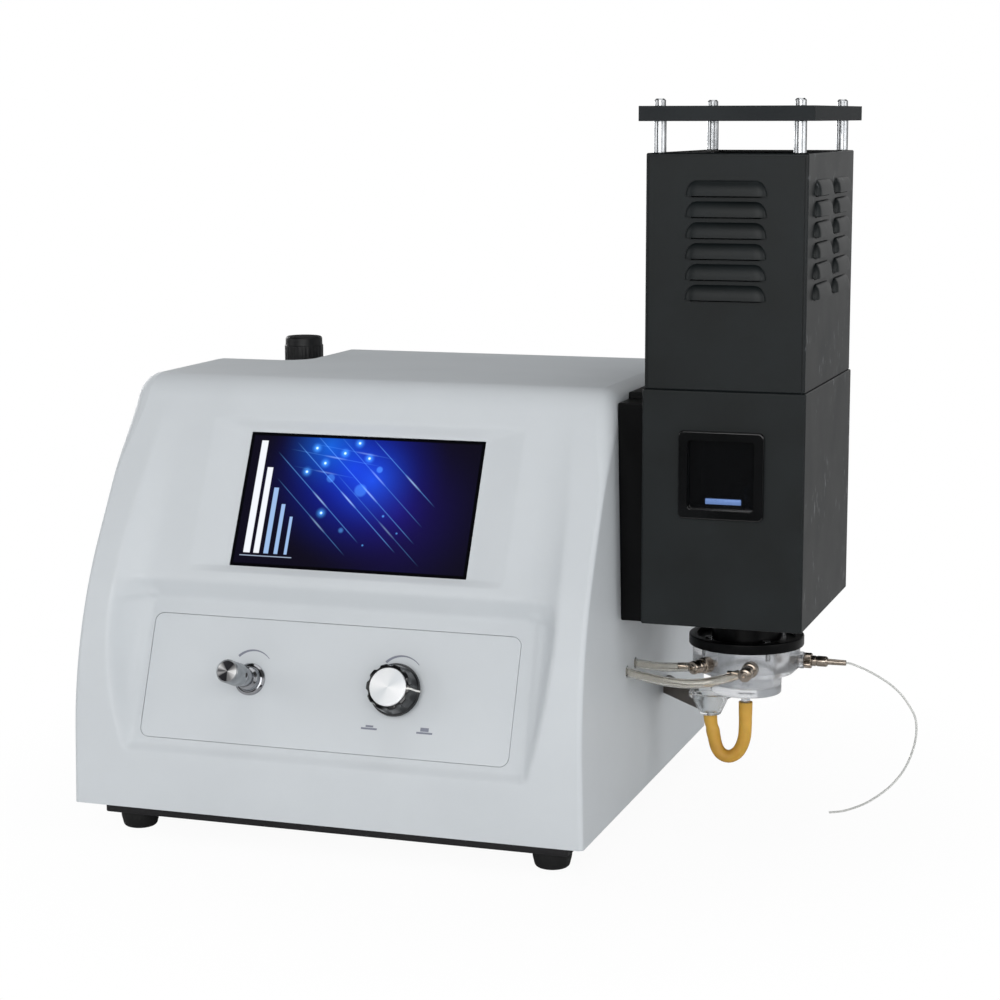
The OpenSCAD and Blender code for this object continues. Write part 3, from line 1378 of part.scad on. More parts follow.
// ==== Nebulizer, along +X
module nebulizer_seal() {
    color(white_plastic) centred() translate([neb_seal_x, burner_y, port_z]) along_x()
        difference() {
            cylinder(d = 11, h = neb_seal_l);
            translate([0, 0, -past]) cylinder(d = neb_stem_d + 2 * seat_gap, h = 10);
        }
}
module nebulizer_nut() {
    color(nickel) centred() translate([neb_seal_x + neb_seal_l, burner_y, port_z]) along_x()
        difference() {
            cylinder(d = 10.2, h = neb_nut_l, $fn = 6);
            translate([0, 0, -past]) cylinder(d = neb_stem_d + 2 * seat_gap, h = 10);
        }
}
module nebulizer() {
    x0 = neb_seal_x - 12;
    x1 = neb_seal_x + neb_seal_l + neb_nut_l - x0;
    color(nickel) centred() translate([x0, burner_y, port_z]) along_x() difference() {
        rotate_extrude() polygon([[0, 0], [neb_stem_d / 2, 0], [neb_stem_d / 2, x1],
            [3.5, x1], [3.5, x1 + neb_body_l - 1], [2.8, x1 + neb_body_l], [2, x1 + neb_body_l],
            [1.8, x1 + neb_body_l + neb_tip_l], [0, x1 + neb_body_l + neb_tip_l]]);
        translate([0, 0, -past]) cylinder(d = 0.8, h = 60, $fn = 16);
    }
}

// ==== Drain
loop_x = burner_x - 2 * loop_r;
loop_z = chamber_base_z - spigot_l - loop_leg;
loop_short = 16;
cup_z = loop_z + loop_short;
module drain_tube() {
    module section() {
        difference() {
            circle(d = latex_d);
            circle(d = latex_bore);
        }
    }
    color(latex) centred() {
        at_burner(loop_z) linear_extrude(loop_leg) section();
        translate([loop_x, burner_y, loop_z]) linear_extrude(loop_short) section();
        translate([burner_x - loop_r, burner_y, loop_z]) rotate([-90, 0, 0])
            rotate_extrude(angle = 180) translate([loop_r, 0]) section();
    }
}
cup_h = 15;
cup_low_r = 7;
cup_lip = 2;
cup_lip_h = 3;
module drain_cup() {
    w = 1.6;
    r = cup_d / 2;
    spigot_r = latex_bore / 2 - 0.1;
    color(clear_plastic) centred() translate([loop_x, burner_y, cup_z]) rotate_extrude()
        polygon([[w, -8], [spigot_r, -8], [spigot_r, 0], [cup_low_r, 0],
            [r - cup_lip, cup_h - cup_lip_h], [r, cup_h - cup_lip_h], [r, cup_h],
            [r - cup_lip - w, cup_h], [cup_low_r - w, w], [w, w]]);
}
arm_h = 10;
module drain_arm() {
    // Tapered strip from the housing's side to a saddle under the cup's rim
    foot_y = burner_y + 42;
    low = cup_z + 1;
    color("#4E463E") centred() difference() {
        hull() {
            translate([loop_x - 9, burner_y + 7, low]) cylinder(d = 3, h = arm_h, $fn = 16);
            translate([housing_w - side_x(low), foot_y, low]) cube([2, 12, arm_h]);
        }
        translate([loop_x, burner_y, cup_z]) cylinder(r1 = cup_low_r + gap,
            r2 = cup_d / 2 - cup_lip + gap, h = cup_h - cup_lip_h);
    }
}

// ==== Optics, along X through the duct
tube_end_x = box_x - 1;
tube_start_x = tube_end_x - lens_tube_l;
tube_wall = 2.5;
module lens_tube() {
    lens_d = lens_tube_d - 2 * tube_wall;
    color(deep_black) centred() translate([tube_start_x, burner_y, axis_z]) along_x() {
        difference() {
            cylinder(d = lens_tube_d, h = lens_tube_l);
            translate([0, 0, -past]) cylinder(d = lens_d, h = lens_tube_l + 2 * past);
        }
        // Lens seated in the mouth
        translate([0, 0, lens_tube_l - 8]) rotate_extrude() polygon(concat([[0, 0]],
            [[lens_d / 2 + 0.5, 1.5], [lens_d / 2 + 0.5, 3.5]], [[lens_d / 4, 4.8], [0, 5.4]]));
    }
}
filter_d = 14;
filter_y = 8.5;
module optical_filters() {
    holder_t = 4;
    disc_t = 2;
    color("#7A3B2E") centred() translate([tube_start_x + 16, burner_y, axis_z]) along_x() {
        difference() {
            cylinder(d = lens_tube_d - 2 * tube_wall - 2 * seat_gap, h = holder_t);
            for (s = [-1, 1]) translate([0, s * filter_y, 0]) {
                translate([0, 0, -past]) cylinder(d = filter_d - 2, h = 10);
                translate([0, 0, holder_t - disc_t]) cylinder(d = filter_d + 2 * seat_gap, h = 10);
            }
        }
        for (s = [-1, 1]) translate([0, s * filter_y, holder_t - disc_t])
            cylinder(d = filter_d, h = disc_t);
    }
}
module photocells() {
    color("#B9B4A2") centred() translate([tube_start_x + 2, burner_y, axis_z]) along_x() {
        cylinder(d = lens_tube_d - 2 * tube_wall - 2 * seat_gap, h = 1.6);
        for (s = [-1, 1]) translate([0, s * filter_y, 1.5]) cylinder(d = 13, h = 9);
    }
}

base_plate();
feet();
case_screws();
housing();
rear_panel();
control_panel();
screen_glass();
display_module();
fine_valve_bushing();
fine_valve_body();
fine_valve_stem();
fine_knob();
fine_knob_screw();
gas_valve_body();
gas_plunger();
gas_valve_stem();
gas_knob();
gas_knob_cap();
ignition_switch();
ignition_module();
igniter_electrode();
regulator_body();
regulator_bonnet();
regulator_knob();
filter_bowl();
regulator_bracket();
air_inlet();
gas_inlet();
power_inlet();
power_rocker();
mount_post();
optics_duct();
flame_box();
chimney_shell();
chimney_cap();
cap_spacers();
cap_screws();
window_frame();
window_glass();
burner_flange();
flange_screws();
burner_tube();
burner_head();
mixing_chamber();
chamber_base();
hose_fittings();
air_hose();
gas_hose();
nebulizer();
nebulizer_nut();
nebulizer_seal();
sample_capillary();
drain_tube();
drain_cup();
drain_arm();
lens_tube();
optical_filters();
photocells();
main_board();
power_supply();
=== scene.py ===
# %% [markdown]
# # A bench flame photometer
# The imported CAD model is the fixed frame: a pale moulded housing, a black sheet
# metal tower, valve knobs and clear fittings. This file dresses it. Each cell first
# says what a piece is on the real object and why it is made this way.

# %% Load the frame
import json
import math
from functools import partial
import bpy
import bmesh
import numpy as np
from mathutils import Matrix, Vector


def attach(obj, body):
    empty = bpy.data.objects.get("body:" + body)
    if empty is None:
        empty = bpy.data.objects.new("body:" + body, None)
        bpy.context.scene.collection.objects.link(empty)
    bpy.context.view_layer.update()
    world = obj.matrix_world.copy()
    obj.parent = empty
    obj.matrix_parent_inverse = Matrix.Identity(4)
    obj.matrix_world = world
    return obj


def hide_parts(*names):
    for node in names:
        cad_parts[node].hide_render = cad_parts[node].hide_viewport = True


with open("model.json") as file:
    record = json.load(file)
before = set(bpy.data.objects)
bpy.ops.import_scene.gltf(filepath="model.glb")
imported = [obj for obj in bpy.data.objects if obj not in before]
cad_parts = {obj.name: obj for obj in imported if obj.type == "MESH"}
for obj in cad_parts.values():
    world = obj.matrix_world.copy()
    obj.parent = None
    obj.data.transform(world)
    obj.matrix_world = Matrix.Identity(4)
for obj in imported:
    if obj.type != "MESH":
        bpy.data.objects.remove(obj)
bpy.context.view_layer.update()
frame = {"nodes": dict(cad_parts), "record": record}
print("CAD nodes:", len(frame["nodes"]))

# %% [markdown]
# The source is drawn in millimetres from the housing's left front corner. One
# matrix moves such points to Blender's metres, with the footprint's middle as the
# origin. A tilted or turned piece gets a matrix of its own from the same helper.

# %% Places
ORIGIN = Vector((241.3, 166.3744, 0.0))


def at(x, y, z, turn=Matrix.Identity(3)):
    """Matrix from a piece's own millimetres to the frame's metres."""
    place = Matrix.Translation((Vector((x, y, z)) - ORIGIN) / 1000)
    return place @ (turn.to_4x4() @ Matrix.Scale(0.001, 4))


def turned(axis, degrees):
    return Matrix.Rotation(math.radians(degrees), 3, axis)


SOURCE = at(0, 0, 0)
ALONG_X = turned("Y", 90)
SWEEP_Z, SWEEP_R = 65.0, 242.0                      # Where the front leans back, and its radius
SILL_Z, LEDGE_LOW, LEDGE_TOP = 57.0, 151.0, 165.0   # Heights of the recess's edges
CONTROL_LEAN, DISPLAY_LEAN = 21.0, 26.2             # Its two slopes, in degrees from upright
CONTROL_IN, DISPLAY_IN = 3.0, 10.5                  # Their feet behind the front's surface
DISPLAY_Y = SWEEP_R - math.sqrt(SWEEP_R ** 2 - (LEDGE_TOP - SWEEP_Z) ** 2) + DISPLAY_IN
GLASS = (96.5, 12.8, 163.5, 92.0)                   # Screen: left, foot, width, height
FINE_X, GAS_X, KNOB_V = 119.0, 221.0, 50.3          # Knobs on the control panel
BURNER_X, TOWER_Y, LIGHT_Z = 416, 160, 249.8        # Burner's axis and the light path
HOSE_HOLES = [(130, 107), (109, 106)]               # Back and up, in the housing's side


def on_control(x, v, w=0.0):
    """Place on the control panel: across, up its slope, out of it."""
    a = math.radians(CONTROL_LEAN)
    return at(x, CONTROL_IN + v * math.sin(a) - w * math.cos(a),
              SILL_Z + v * math.cos(a) + w * math.sin(a), turned("X", 90 - CONTROL_LEAN))


# %% [markdown]
# The camera stands right of the middle and looks down a little, as solved from the
# straight edges of housing and tower in the photograph.

# %% Camera
camera = bpy.data.objects.new("camera", bpy.data.cameras.new("camera"))
bpy.context.scene.collection.objects.link(camera)
camera.data.lens = 85.1
camera.data.sensor_width = 36
camera.location = (Vector((742.7, -1347.0, 463.6)) - ORIGIN) / 1000
camera.rotation_euler = (math.radians(80.8), math.radians(0.1), math.radians(18.3))
bpy.context.scene.camera = camera

# %% [markdown]
# A finish is a node material. Colours are written as the sRGB hex values that a
# picture shows, and one function turns them to the linear values that light uses.
# Another adds a node with its settings and links, so each finish reads as a list.

# %% Helpers for finishes
def linear(hex_colour):
    channels = [int(hex_colour[i:i + 2], 16) / 255 for i in (1, 3, 5)]
    return tuple(c / 12.92 if c <= 0.04045 else ((c + 0.055) / 1.055) ** 2.4
                 for c in channels) + (1.0,)


def add_node(tree, kind, settings=None, links=None):
    """Adds a node. settings: attributes or socket values; links: socket -> source socket."""
    node = tree.nodes.new(kind)
    for key, value in (settings or {}).items():
        if isinstance(key, str) and hasattr(node, key):
            setattr(node, key, value)
        else:
            node.inputs[key].default_value = value
    for key, source in (links or {}).items():
        tree.links.new(source, node.inputs[key])
    return node


def maths(tree, operation, *values):
    """Sum of numbers and sockets."""
    node = add_node(tree, "ShaderNodeMath", {"operation": operation})
    for socket, value in zip(node.inputs, values):
        if isinstance(value, (int, float)):
            socket.default_value = value
        else:
            tree.links.new(value, socket)
    return node.outputs[0]


def mixed(tree, amount, first, second):
    """Blend of two colours, each a hex value or a socket."""
    node = add_node(tree, "ShaderNodeMix", {"data_type": "RGBA"}, {0: amount})
    for key, colour in ((6, first), (7, second)):
        if isinstance(colour, str):
            node.inputs[key].default_value = linear(colour)
        else:
            tree.links.new(colour, node.inputs[key])
    return node.outputs[2]


FINISHES = {}


def finish(name, colour, **sockets):
    """A new Principled material, kept under its slot name."""
    material = bpy.data.materials.new(name)
    material.use_nodes = True
    shader = material.node_tree.nodes["Principled BSDF"]
    shader.inputs["Base Color"].default_value = linear(colour)
    for key, value in sockets.items():
        shader.inputs[key.replace("_", " ")].default_value = value
    FINISHES[name] = material
    return material.node_tree, shader


def noise(tree, size_mm, detail=2.0, stretch=(1, 1, 1)):
    """Noise whose grains are size_mm across, in the frame's own coordinates."""
    place = add_node(tree, "ShaderNodeTexCoord").outputs["Object"]
    scaled = add_node(tree, "ShaderNodeMapping", {"Scale": stretch}, {"Vector": place})
    return add_node(tree, "ShaderNodeTexNoise", {"Scale": 1000.0 / size_mm, "Detail": detail},
                    {"Vector": scaled.outputs[0]}).outputs[0]


def spread(tree, source, low, high, out_low, out_high):
    """Maps a value from one range to another, clamped."""
    return add_node(tree, "ShaderNodeMapRange", {1: low, 2: high, 3: out_low, 4: out_high},
                    {0: source}).outputs[0]


def bump(tree, shader, source, depth_mm, strength):
    node = add_node(tree, "ShaderNodeBump", {"Distance": depth_mm / 1000, "Strength": strength},
                    {"Height": source})
    for before in [link.from_socket for link in shader.inputs["Normal"].links]:
        tree.links.new(before, node.inputs["Normal"])
    tree.links.new(node.outputs[0], shader.inputs["Normal"])


def tinted(tree, shader, amount, first, second):
    """Clouds of a second colour over the first."""
    tree.links.new(mixed(tree, amount, first, second), shader.inputs["Base Color"])


def roughened(tree, shader, source, low, high, top=0.7):
    """Lets the roughness drift between two values."""
    tree.links.new(spread(tree, source, 0.3, top, low, high), shader.inputs["Roughness"])


# %% [markdown]
# The housing is ABS, injection moulded or vacuum formed and lightly textured. That
# gives a matt, slightly soft highlight (roughness near 0.5, IOR 1.54) and a grain
# of about 0.6 mm. The grain is drawn at 1.2 mm, so that it shows at this distance.
# Handling leaves faint clouds, a hand's width across.

# %% Moulded ABS
tree, shader = finish("shell", "#C8CDD1", Roughness=0.5, IOR=1.54)
bump(tree, shader, noise(tree, 1.2, 3), 0.05, 0.35)
clouds = noise(tree, 60, 4)
tinted(tree, shader, spread(tree, clouds, 0.35, 0.7, 0, 1), "#C9CED2", "#C6CBCF")
roughened(tree, shader, clouds, 0.5, 0.54)

# %% [markdown]
# The control panel plate carries a printed polyester film: the same grey, a little
# smoother than the moulding. The marks on it are a darker blue-grey ink.

# %% Panel film and its ink
tree, shader = finish("panel_film", "#CACFD3", Roughness=0.42, IOR=1.5)
bump(tree, shader, noise(tree, 0.9, 2), 0.03, 0.25)
tinted(tree, shader, spread(tree, noise(tree, 45, 3), 0.35, 0.7, 0, 1), "#CACFD3", "#C8CDD1")
tree, shader = finish("panel_ink", "#7C808E", Roughness=0.5)
bump(tree, shader, noise(tree, 1.0, 1), 0.02, 0.2)

# %% [markdown]
# The tower is folded steel with a satin black paint. Paint on sheet is smooth but
# not glossy (roughness near 0.45) with a fine speckle of about a millimetre. Hands
# and flame leave pale scuffs on its outer side. The cap plate's coat is duller.

# %% Black paints and blacks
def black_paint(name, colour, lighter, roughness, speck_mm, depth_mm, shine=0.5):
    tree, shader = finish(name, colour, Roughness=roughness, IOR=1.5, Specular_IOR_Level=shine)
    bump(tree, shader, noise(tree, speck_mm, 3), depth_mm, 0.5)
    patches = noise(tree, 38, 5)
    tinted(tree, shader, spread(tree, patches, 0.35, 0.75, 0, 1), colour, lighter)
    roughened(tree, shader, patches, roughness - 0.02, roughness + 0.03)
    return tree, shader


tree, shader = black_paint("tower_black", "#0F1415", "#151B1D", 0.44, 1.0, 0.05, 0.28)
scratches = spread(tree, noise(tree, 4, 7, (1, 1, 0.5)), 0.6, 0.7, 0, 1)
areas = spread(tree, noise(tree, 26, 2), 0.52, 0.62, 0, 0.7)
normal = add_node(tree, "ShaderNodeTexCoord").outputs["Normal"]
facing = add_node(tree, "ShaderNodeSeparateXYZ", links={0: normal}).outputs[0]
outer_side = spread(tree, facing, 0.4, 0.6, 0, 1)
scuffs = maths(tree, "MULTIPLY", scratches, maths(tree, "MULTIPLY", areas, outer_side))
paint = shader.inputs["Base Color"].links[0].from_socket
tree.links.new(mixed(tree, scuffs, paint, "#74767A"), shader.inputs["Base Color"])
black_paint("cap_black", "#25282A", "#2B2E30", 0.62, 1.0, 0.05, 0.12)
black_paint("black_coat", "#121113", "#19181B", 0.5, 1.4, 0.08, 0.3)
black_paint("flange_black", "#030304", "#060708", 0.3, 1.0, 0.02, 0.12)
black_paint("gloss_black", "#08090A", "#0B0C0E", 0.14, 2.0, 0.01)
black_paint("knob_black", "#08090B", "#0E0F12", 0.09, 3.0, 0.006)
black_paint("grip_black", "#08090A", "#0E0F11", 0.42, 3.0, 0.01, 0.3)
black_paint("dark_steel", "#45403B", "#575049", 0.42, 1.2, 0.03)
black_paint("inner_grey", "#34373C", "#3E4147", 0.5, 1.5, 0.05)
black_paint("cast_grey", "#868D92", "#949A9E", 0.5, 1.8, 0.12)

# %% [markdown]
# Metals mirror the room, so their look comes from how smooth they are. Nickel and
# chrome plate are smooth; turned parts keep the tool's rings, which are drawn as a
# fine wave along the part's axis.

# %% Metals
def metal(name, colour, stain, roughness, ring_mm=0.0):
    tree, shader = finish(name, colour, Metallic=1.0, Roughness=roughness)
    cloud = noise(tree, 6, 3)
    roughened(tree, shader, cloud, roughness * 0.8, roughness * 1.25)
    if ring_mm:
        place = add_node(tree, "ShaderNodeTexCoord").outputs["Object"]
        rings = add_node(tree, "ShaderNodeTexWave", {
            "bands_direction": "Z", "Scale": 1000.0 / (ring_mm * 6), "Distortion": 0.4},
            {"Vector": place})
        bump(tree, shader, rings.outputs[1], 0.01, 0.4)
    tinted(tree, shader, spread(tree, cloud, 0.3, 0.75, 0, 1), colour, stain)
    return tree, shader


metal("chrome", "#D6D8DA", "#C4C6C9", 0.07)
metal("dark_chrome", "#A2A3A7", "#85878B", 0.09)
metal("nickel", "#A89D92", "#8D8378", 0.2)
metal("bright_metal", "#CFD1D3", "#B6B9BC", 0.24, 0.5)
metal("bright_screw", "#C3C5C7", "#A6A8AA", 0.26)
metal("brass", "#C9A455", "#A88845", 0.26)
metal("spun_aluminium", "#DCDEE0", "#CDD0D2", 0.3)
metal("satin_nickel", "#A3A6A9", "#8F9295", 0.36, 0.7)
# Painted light: the clip's edge is a pale blue strip that glows by itself
tree, shader = metal("painted_glow_edge", "#A9BCE4", "#90A8DA", 0.3)
shader.inputs["Emission Color"].default_value = linear("#86A6E0")
shader.inputs["Emission Strength"].default_value = 1.9


def painted_sheen_face(name, dark, light, place, waves, roughness, metallic, low=-0.8, high=0.8):
    """Faced on a lathe. The wedges of light and dark round the middle are painted highlight in
    the colour, for light that its fine rings scatter more widely than a mirror does; part of it is
    diffuse."""
    tree, shader = finish(name, light, Metallic=metallic, Roughness=roughness)
    here = add_node(tree, "ShaderNodeTexCoord").outputs["Object"]
    local = add_node(tree, "ShaderNodeMapping", {
        "vector_type": "TEXTURE", "Location": place.translation,
        "Rotation": place.to_quaternion().to_euler()}, {"Vector": here})
    turn = add_node(tree, "ShaderNodeTexGradient", {"gradient_type": "RADIAL"},
                    {"Vector": local.outputs[0]}).outputs[1]
    total = 0.0
    for count, weight, phase in waves:
        wave = maths(tree, "COSINE",
                     maths(tree, "MULTIPLY_ADD", turn, 2 * math.pi * count, phase))
        total = maths(tree, "MULTIPLY_ADD", wave, weight, total)
    tinted(tree, shader, spread(tree, total, low, high, 0, 1), dark, light)


# Waves of the painted highlight: wedges in a turn, weight, phase
painted_sheen_face("fine_face_painted_sheen", "#2B2B2F", "#FFFFFF", on_control(FINE_X, KNOB_V, 38),
            [(2, 0.5, 0.42), (1, 0.3, -2.93), (5, 0.22, -2.9), (9, 0.1, -2.87)],
            0.3, 0.6, -0.2, 0.85)
painted_sheen_face("gas_face_painted_sheen", "#DDE1E4", "#FAFBFC", on_control(GAS_X, KNOB_V, 19),
            [(2, 0.6, 1.2), (4, 0.3, 0.3)], 0.42, 0.35)

# %% [markdown]
# Rubber, ceramic and the boards inside are plain, but none is one flat colour.

# %% Rubber and plastics
def plastic(name, colour, second, roughness, grain_mm, depth_mm, **sockets):
    tree, shader = finish(name, colour, Roughness=roughness, **sockets)
    bump(tree, shader, noise(tree, grain_mm, 3), depth_mm, 0.5)
    tinted(tree, shader, spread(tree, noise(tree, 14, 4), 0.35, 0.7, 0, 1), colour, second)


plastic("rubber", "#0A0A0B", "#111112", 0.66, 1.2, 0.08, Specular_IOR_Level=0.3)
plastic("ceramic", "#ECECE8", "#E2E1DB", 0.3, 2.0, 0.02)
plastic("white_plastic", "#ECECE8", "#E4E4E0", 0.4, 1.5, 0.02)
plastic("capillary", "#E4E5E2", "#D2D4D2", 0.3, 1.0, 0.01, Transmission_Weight=0.3, IOR=1.4)
plastic("board", "#2F6B45", "#285C3C", 0.4, 2.5, 0.1)
plastic("filter_glass", "#7A3B2E", "#6B2F25", 0.15, 3.0, 0.01, Transmission_Weight=0.6, IOR=1.5)
# Latex is a dull amber rubber that lets some light through its wall
plastic("latex", "#CFA23E", "#C19133", 0.55, 1.5, 0.05, Subsurface_Weight=0.35, IOR=1.52,
        Subsurface_Radius=(0.006, 0.003, 0.001))

# %% [markdown]
# Acrylic is a clear plastic of IOR 1.49. Turned and only partly polished, it keeps
# a frosted skin, so it is both see-through and milky.

# %% Clear plastics and glass
def clear(name, colour, roughness, ior, weight):
    tree, shader = finish(name, colour, Roughness=roughness, IOR=ior, Transmission_Weight=weight)
    bump(tree, shader, noise(tree, 3.0, 3), 0.02, 0.4)
    roughened(tree, shader, noise(tree, 9, 4), roughness, roughness * 2.2 + 0.05, 0.75)


clear("acrylic", "#EEF0F3", 0.1, 1.49, 0.86)
clear("clear_plastic", "#F4F6F7", 0.12, 1.25, 0.96)
clear("clear_hose", "#F8F5EE", 0.05, 1.42, 0.93)
clear("dark_glass", "#55595F", 0.03, 1.5, 0.97)

# %% [markdown]
# The screen is glass over a lit panel. Its picture is drawn from numbers: a deep
# blue glow, slanted streaks of light, soft discs and a bar gauge, laid out for this
# part. The coordinates u and v run over the glass from its lower left corner, in
# shares of its height.

# %% Lit screen
def screen_finish():
    tree, shader = finish("screen", "#06060A", Roughness=0.12, IOR=1.5)
    calc = partial(maths, tree)
    left, foot, width, height = GLASS
    lean = math.radians(DISPLAY_LEAN)
    corner = (Vector((left, DISPLAY_Y + foot * math.sin(lean),
                      LEDGE_TOP + foot * math.cos(lean))) - ORIGIN) / 1000
    place = add_node(tree, "ShaderNodeTexCoord").outputs["Object"]
    flat = add_node(tree, "ShaderNodeMapping", {
        "vector_type": "TEXTURE", "Location": corner, "Rotation": (math.pi / 2 - lean, 0, 0),
        "Scale": (height / 1000,) * 3}, {"Vector": place}).outputs[0]
    u, v, _ = add_node(tree, "ShaderNodeSeparateXYZ", links={0: flat}).outputs

    def band(value, low, high, soft=0.004):
        """1 between low and high."""
        rise = spread(tree, value, low - soft, low + soft, 0, 1)
        fall = spread(tree, value, high - soft, high + soft, 1, 0)
        return calc("MULTIPLY", rise, fall)

    def disc(cu, cv, radius, soft):
        squares = [calc("POWER", calc("SUBTRACT", here, there), 2.0)
                   for here, there in ((u, cu), (v, cv))]
        away = calc("POWER", calc("ADD", *squares), 0.5)
        return spread(tree, away, radius - soft, radius + soft, 1, 0)

    def glow(cu, cv, radius):
        return calc("POWER", disc(cu, cv, radius / 2, radius / 2), 2.0)

    # Wide glows on a black ground, brightest a little above the middle
    layers = [(glow(0.82, 0.76, 0.75), "#0A2CC8", 1.0), (glow(0.98, 0.68, 0.4), "#1E62F0", 0.55),
              (glow(0.62, 0.92, 0.4), "#1478E8", 0.6), (glow(1.2, 0.45, 0.75), "#20127A", 0.6)]

    def streak(slope, offset, start, end, power, half=0.0015):
        """Thin line with a bright head: place across the slope, start and end along it."""
        c, s = math.cos(math.radians(slope)), math.sin(math.radians(slope))
        along = calc("ADD", calc("MULTIPLY", u, c), calc("MULTIPLY", v, s))
        across = calc("ADD", calc("MULTIPLY", u, -s), calc("MULTIPLY", v, c))
        line = calc("MULTIPLY", band(across, offset - half, offset + half, 0.0035),
                    band(along, start, end, 0.06))
        layers.append((line, "#6FB8FF", 0.75 * power))
        head = (start + end) / 2 + 0.08 * math.sin(offset * 20)
        core = calc("MULTIPLY", band(across, offset - 0.003, offset + 0.003, 0.006),
                    band(along, head, head + 0.07, 0.06))
        layers.append((core, "#D8F4FF", power))

    for numbers in [(0.66, -0.2, 0.5, 0.6), (0.79, -0.35, 0.5, 0.9), (0.94, -0.3, 0.75, 1.0),
                    (1.08, -0.25, 0.8, 0.8), (1.2, -0.1, 0.75, 0.55), (1.36, 0.1, 0.7, 0.9),
                    (1.0, 0.1, 0.95, 0.4)]:
        streak(-42, *numbers)
    for numbers in [(0.92, 0.25, 0.85, 0.5), (0.8, 0.3, 0.7, 0.35), (0.99, 0.4, 0.95, 0.4)]:
        streak(-8, *numbers, 0.001)
    # Soft discs, and sparks with a halo
    for *numbers, power in [(0.66, 0.68, 0.03, 0.006, 0.3), (0.9, 0.6, 0.045, 0.008, 0.28),
                            (1.02, 0.76, 0.022, 0.006, 0.4), (0.8, 0.3, 0.016, 0.008, 0.4),
                            (1.1, 0.42, 0.006, 0.006, 0.9), (1.22, 0.3, 0.005, 0.005, 0.8),
                            (0.98, 0.2, 0.005, 0.005, 0.8)]:
        layers.append((disc(*numbers), "#5FB0FF", power))
    for cu, cv in [(0.52, 0.9), (0.74, 0.87), (0.63, 0.42), (0.84, 0.95), (0.6, 0.79),
                   (0.93, 0.84), (0.47, 0.72)]:
        layers.append((glow(cu, cv, 0.05), "#4FA8FF", 1.2))
        layers.append((disc(cu, cv, 0.006, 0.006), "#FFFFFF", 1.2))
    # Bar chart at the left: falling bars on a base line
    for i, top in enumerate((0.84, 0.64, 0.49, 0.37, 0.28)):
        low = 0.085 + i * 0.078
        bar = calc("MULTIPLY", band(u, low, low + 0.05 - 0.007 * i, 0.002),
                   band(v, 0.1, 0.1 + top, 0.002))
        layers.append((bar, "#F6F9FF" if i < 2 else "#9FC0EA", 1.0))
    base_line = calc("MULTIPLY", band(u, 0.06, 0.46, 0.002), band(v, 0.076, 0.082, 0.002))
    layers.append((base_line, "#C8DAF4", 0.7))

    def vector_maths(operation, settings, links):
        return add_node(tree, "ShaderNodeVectorMath", {"operation": operation, **settings},
                        links).outputs[0]

    total = None
    for amount, colour, power in layers:
        tint = vector_maths("SCALE", {0: linear(colour)[:3]},
                            {"Scale": calc("MULTIPLY", amount, power)})
        total = tint if total is None else vector_maths("ADD", {}, {0: total, 1: tint})
    # The lit area ends 2 mm inside the glass, which leaves a black rim
    rim = 2.0 / height
    lit = calc("MULTIPLY", band(u, rim, width / height - rim, 0.002), band(v, rim, 1 - rim, 0.002))
    ground = vector_maths("ADD", {1: (0.004, 0.003, 0.01)}, {0: total})
    tree.links.new(vector_maths("SCALE", {}, {0: ground, "Scale": lit}),
                   shader.inputs["Emission Color"])
    shader.inputs["Emission Strength"].default_value = 1.0
    print("screen layers:", len(layers))


screen_finish()

# %% [markdown]
# Each CAD node takes the finish of its slot. Where its shape is already right it
# stays, and gets the small rounding that every real edge has: first equal points
# are welded and flat areas joined, then a bevel runs along edges sharper than 30
# degrees.

# %% Dress the CAD nodes
for part in frame["record"]["subparts"]:
    mesh = frame["nodes"][part["node"]].data
    mesh.materials.clear()
    mesh.materials.append(FINISHES[part["material_slot"]])

# The duct and its post take the flange's deeper black as painted shade, for the shade between
# housing and tower, and the cap a duller coat
for name, slot in (("optics_duct", "flange_black"), ("mount_post", "flange_black"),
                   ("chimney_cap", "cap_black")):
    frame["nodes"][name].data.materials[0] = FINISHES[slot]


def soften(width_mm, *names, segments=2):
    for name in names:
        node = frame["nodes"][name]
        node.data.polygons.foreach_set("use_smooth", [True] * len(node.data.polygons))
        weld = node.modifiers.new("weld", "WELD")
        weld.merge_threshold = 0.00001
        flat = node.modifiers.new("flat", "DECIMATE")
        flat.decimate_type = "DISSOLVE"
        flat.angle_limit = math.radians(0.5)
        edge = node.modifiers.new("edge", "BEVEL")
        edge.width = width_mm / 1000
        edge.segments = segments
        edge.limit_method = "ANGLE"
        edge.angle_limit = math.radians(30)
        edge.use_clamp_overlap = True
        edge.harden_normals = True
        normals = node.modifiers.new("normals", "WEIGHTED_NORMAL")
        normals.keep_sharp = True


soften(0.8, "base_plate", "rear_panel", "mount_post", "optics_duct")
soften(0.4, "control_panel", "power_inlet", "power_rocker", "gas_inlet", "air_inlet",
       "regulator_bracket", "regulator_body", "regulator_bonnet", "filter_bowl", "case_screws",
       "igniter_electrode", "power_supply", "main_board", "ignition_module", "ignition_switch",
       "display_module", "photocells", "optical_filters", "lens_tube", "gas_valve_body",
       "fine_valve_body", "gas_plunger", "gas_valve_stem", "fine_valve_stem", "fine_knob_screw",
       "burner_head", "burner_tube", "flange_screws")

# %% [markdown]
# New pieces are meshes written point by point in millimetres. One helper bakes the
# place into the points, so each object sits at the origin as the CAD nodes do.

# %% Piece makers
def piece(name, points, faces, place, slot, body="root", stands_for=(), sharp=32,
          finish_name=None):
    mesh = bpy.data.meshes.new(name)
    mesh.from_pydata([place @ Vector(p) for p in points], [], faces)
    mesh.materials.append(FINISHES[finish_name or slot])
    made = bpy.data.objects.new(name, mesh)
    bpy.context.scene.collection.objects.link(made)
    smooth_by_angle(mesh, sharp)
    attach(made, body)
    if stands_for:
        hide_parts(*stands_for)
    return made


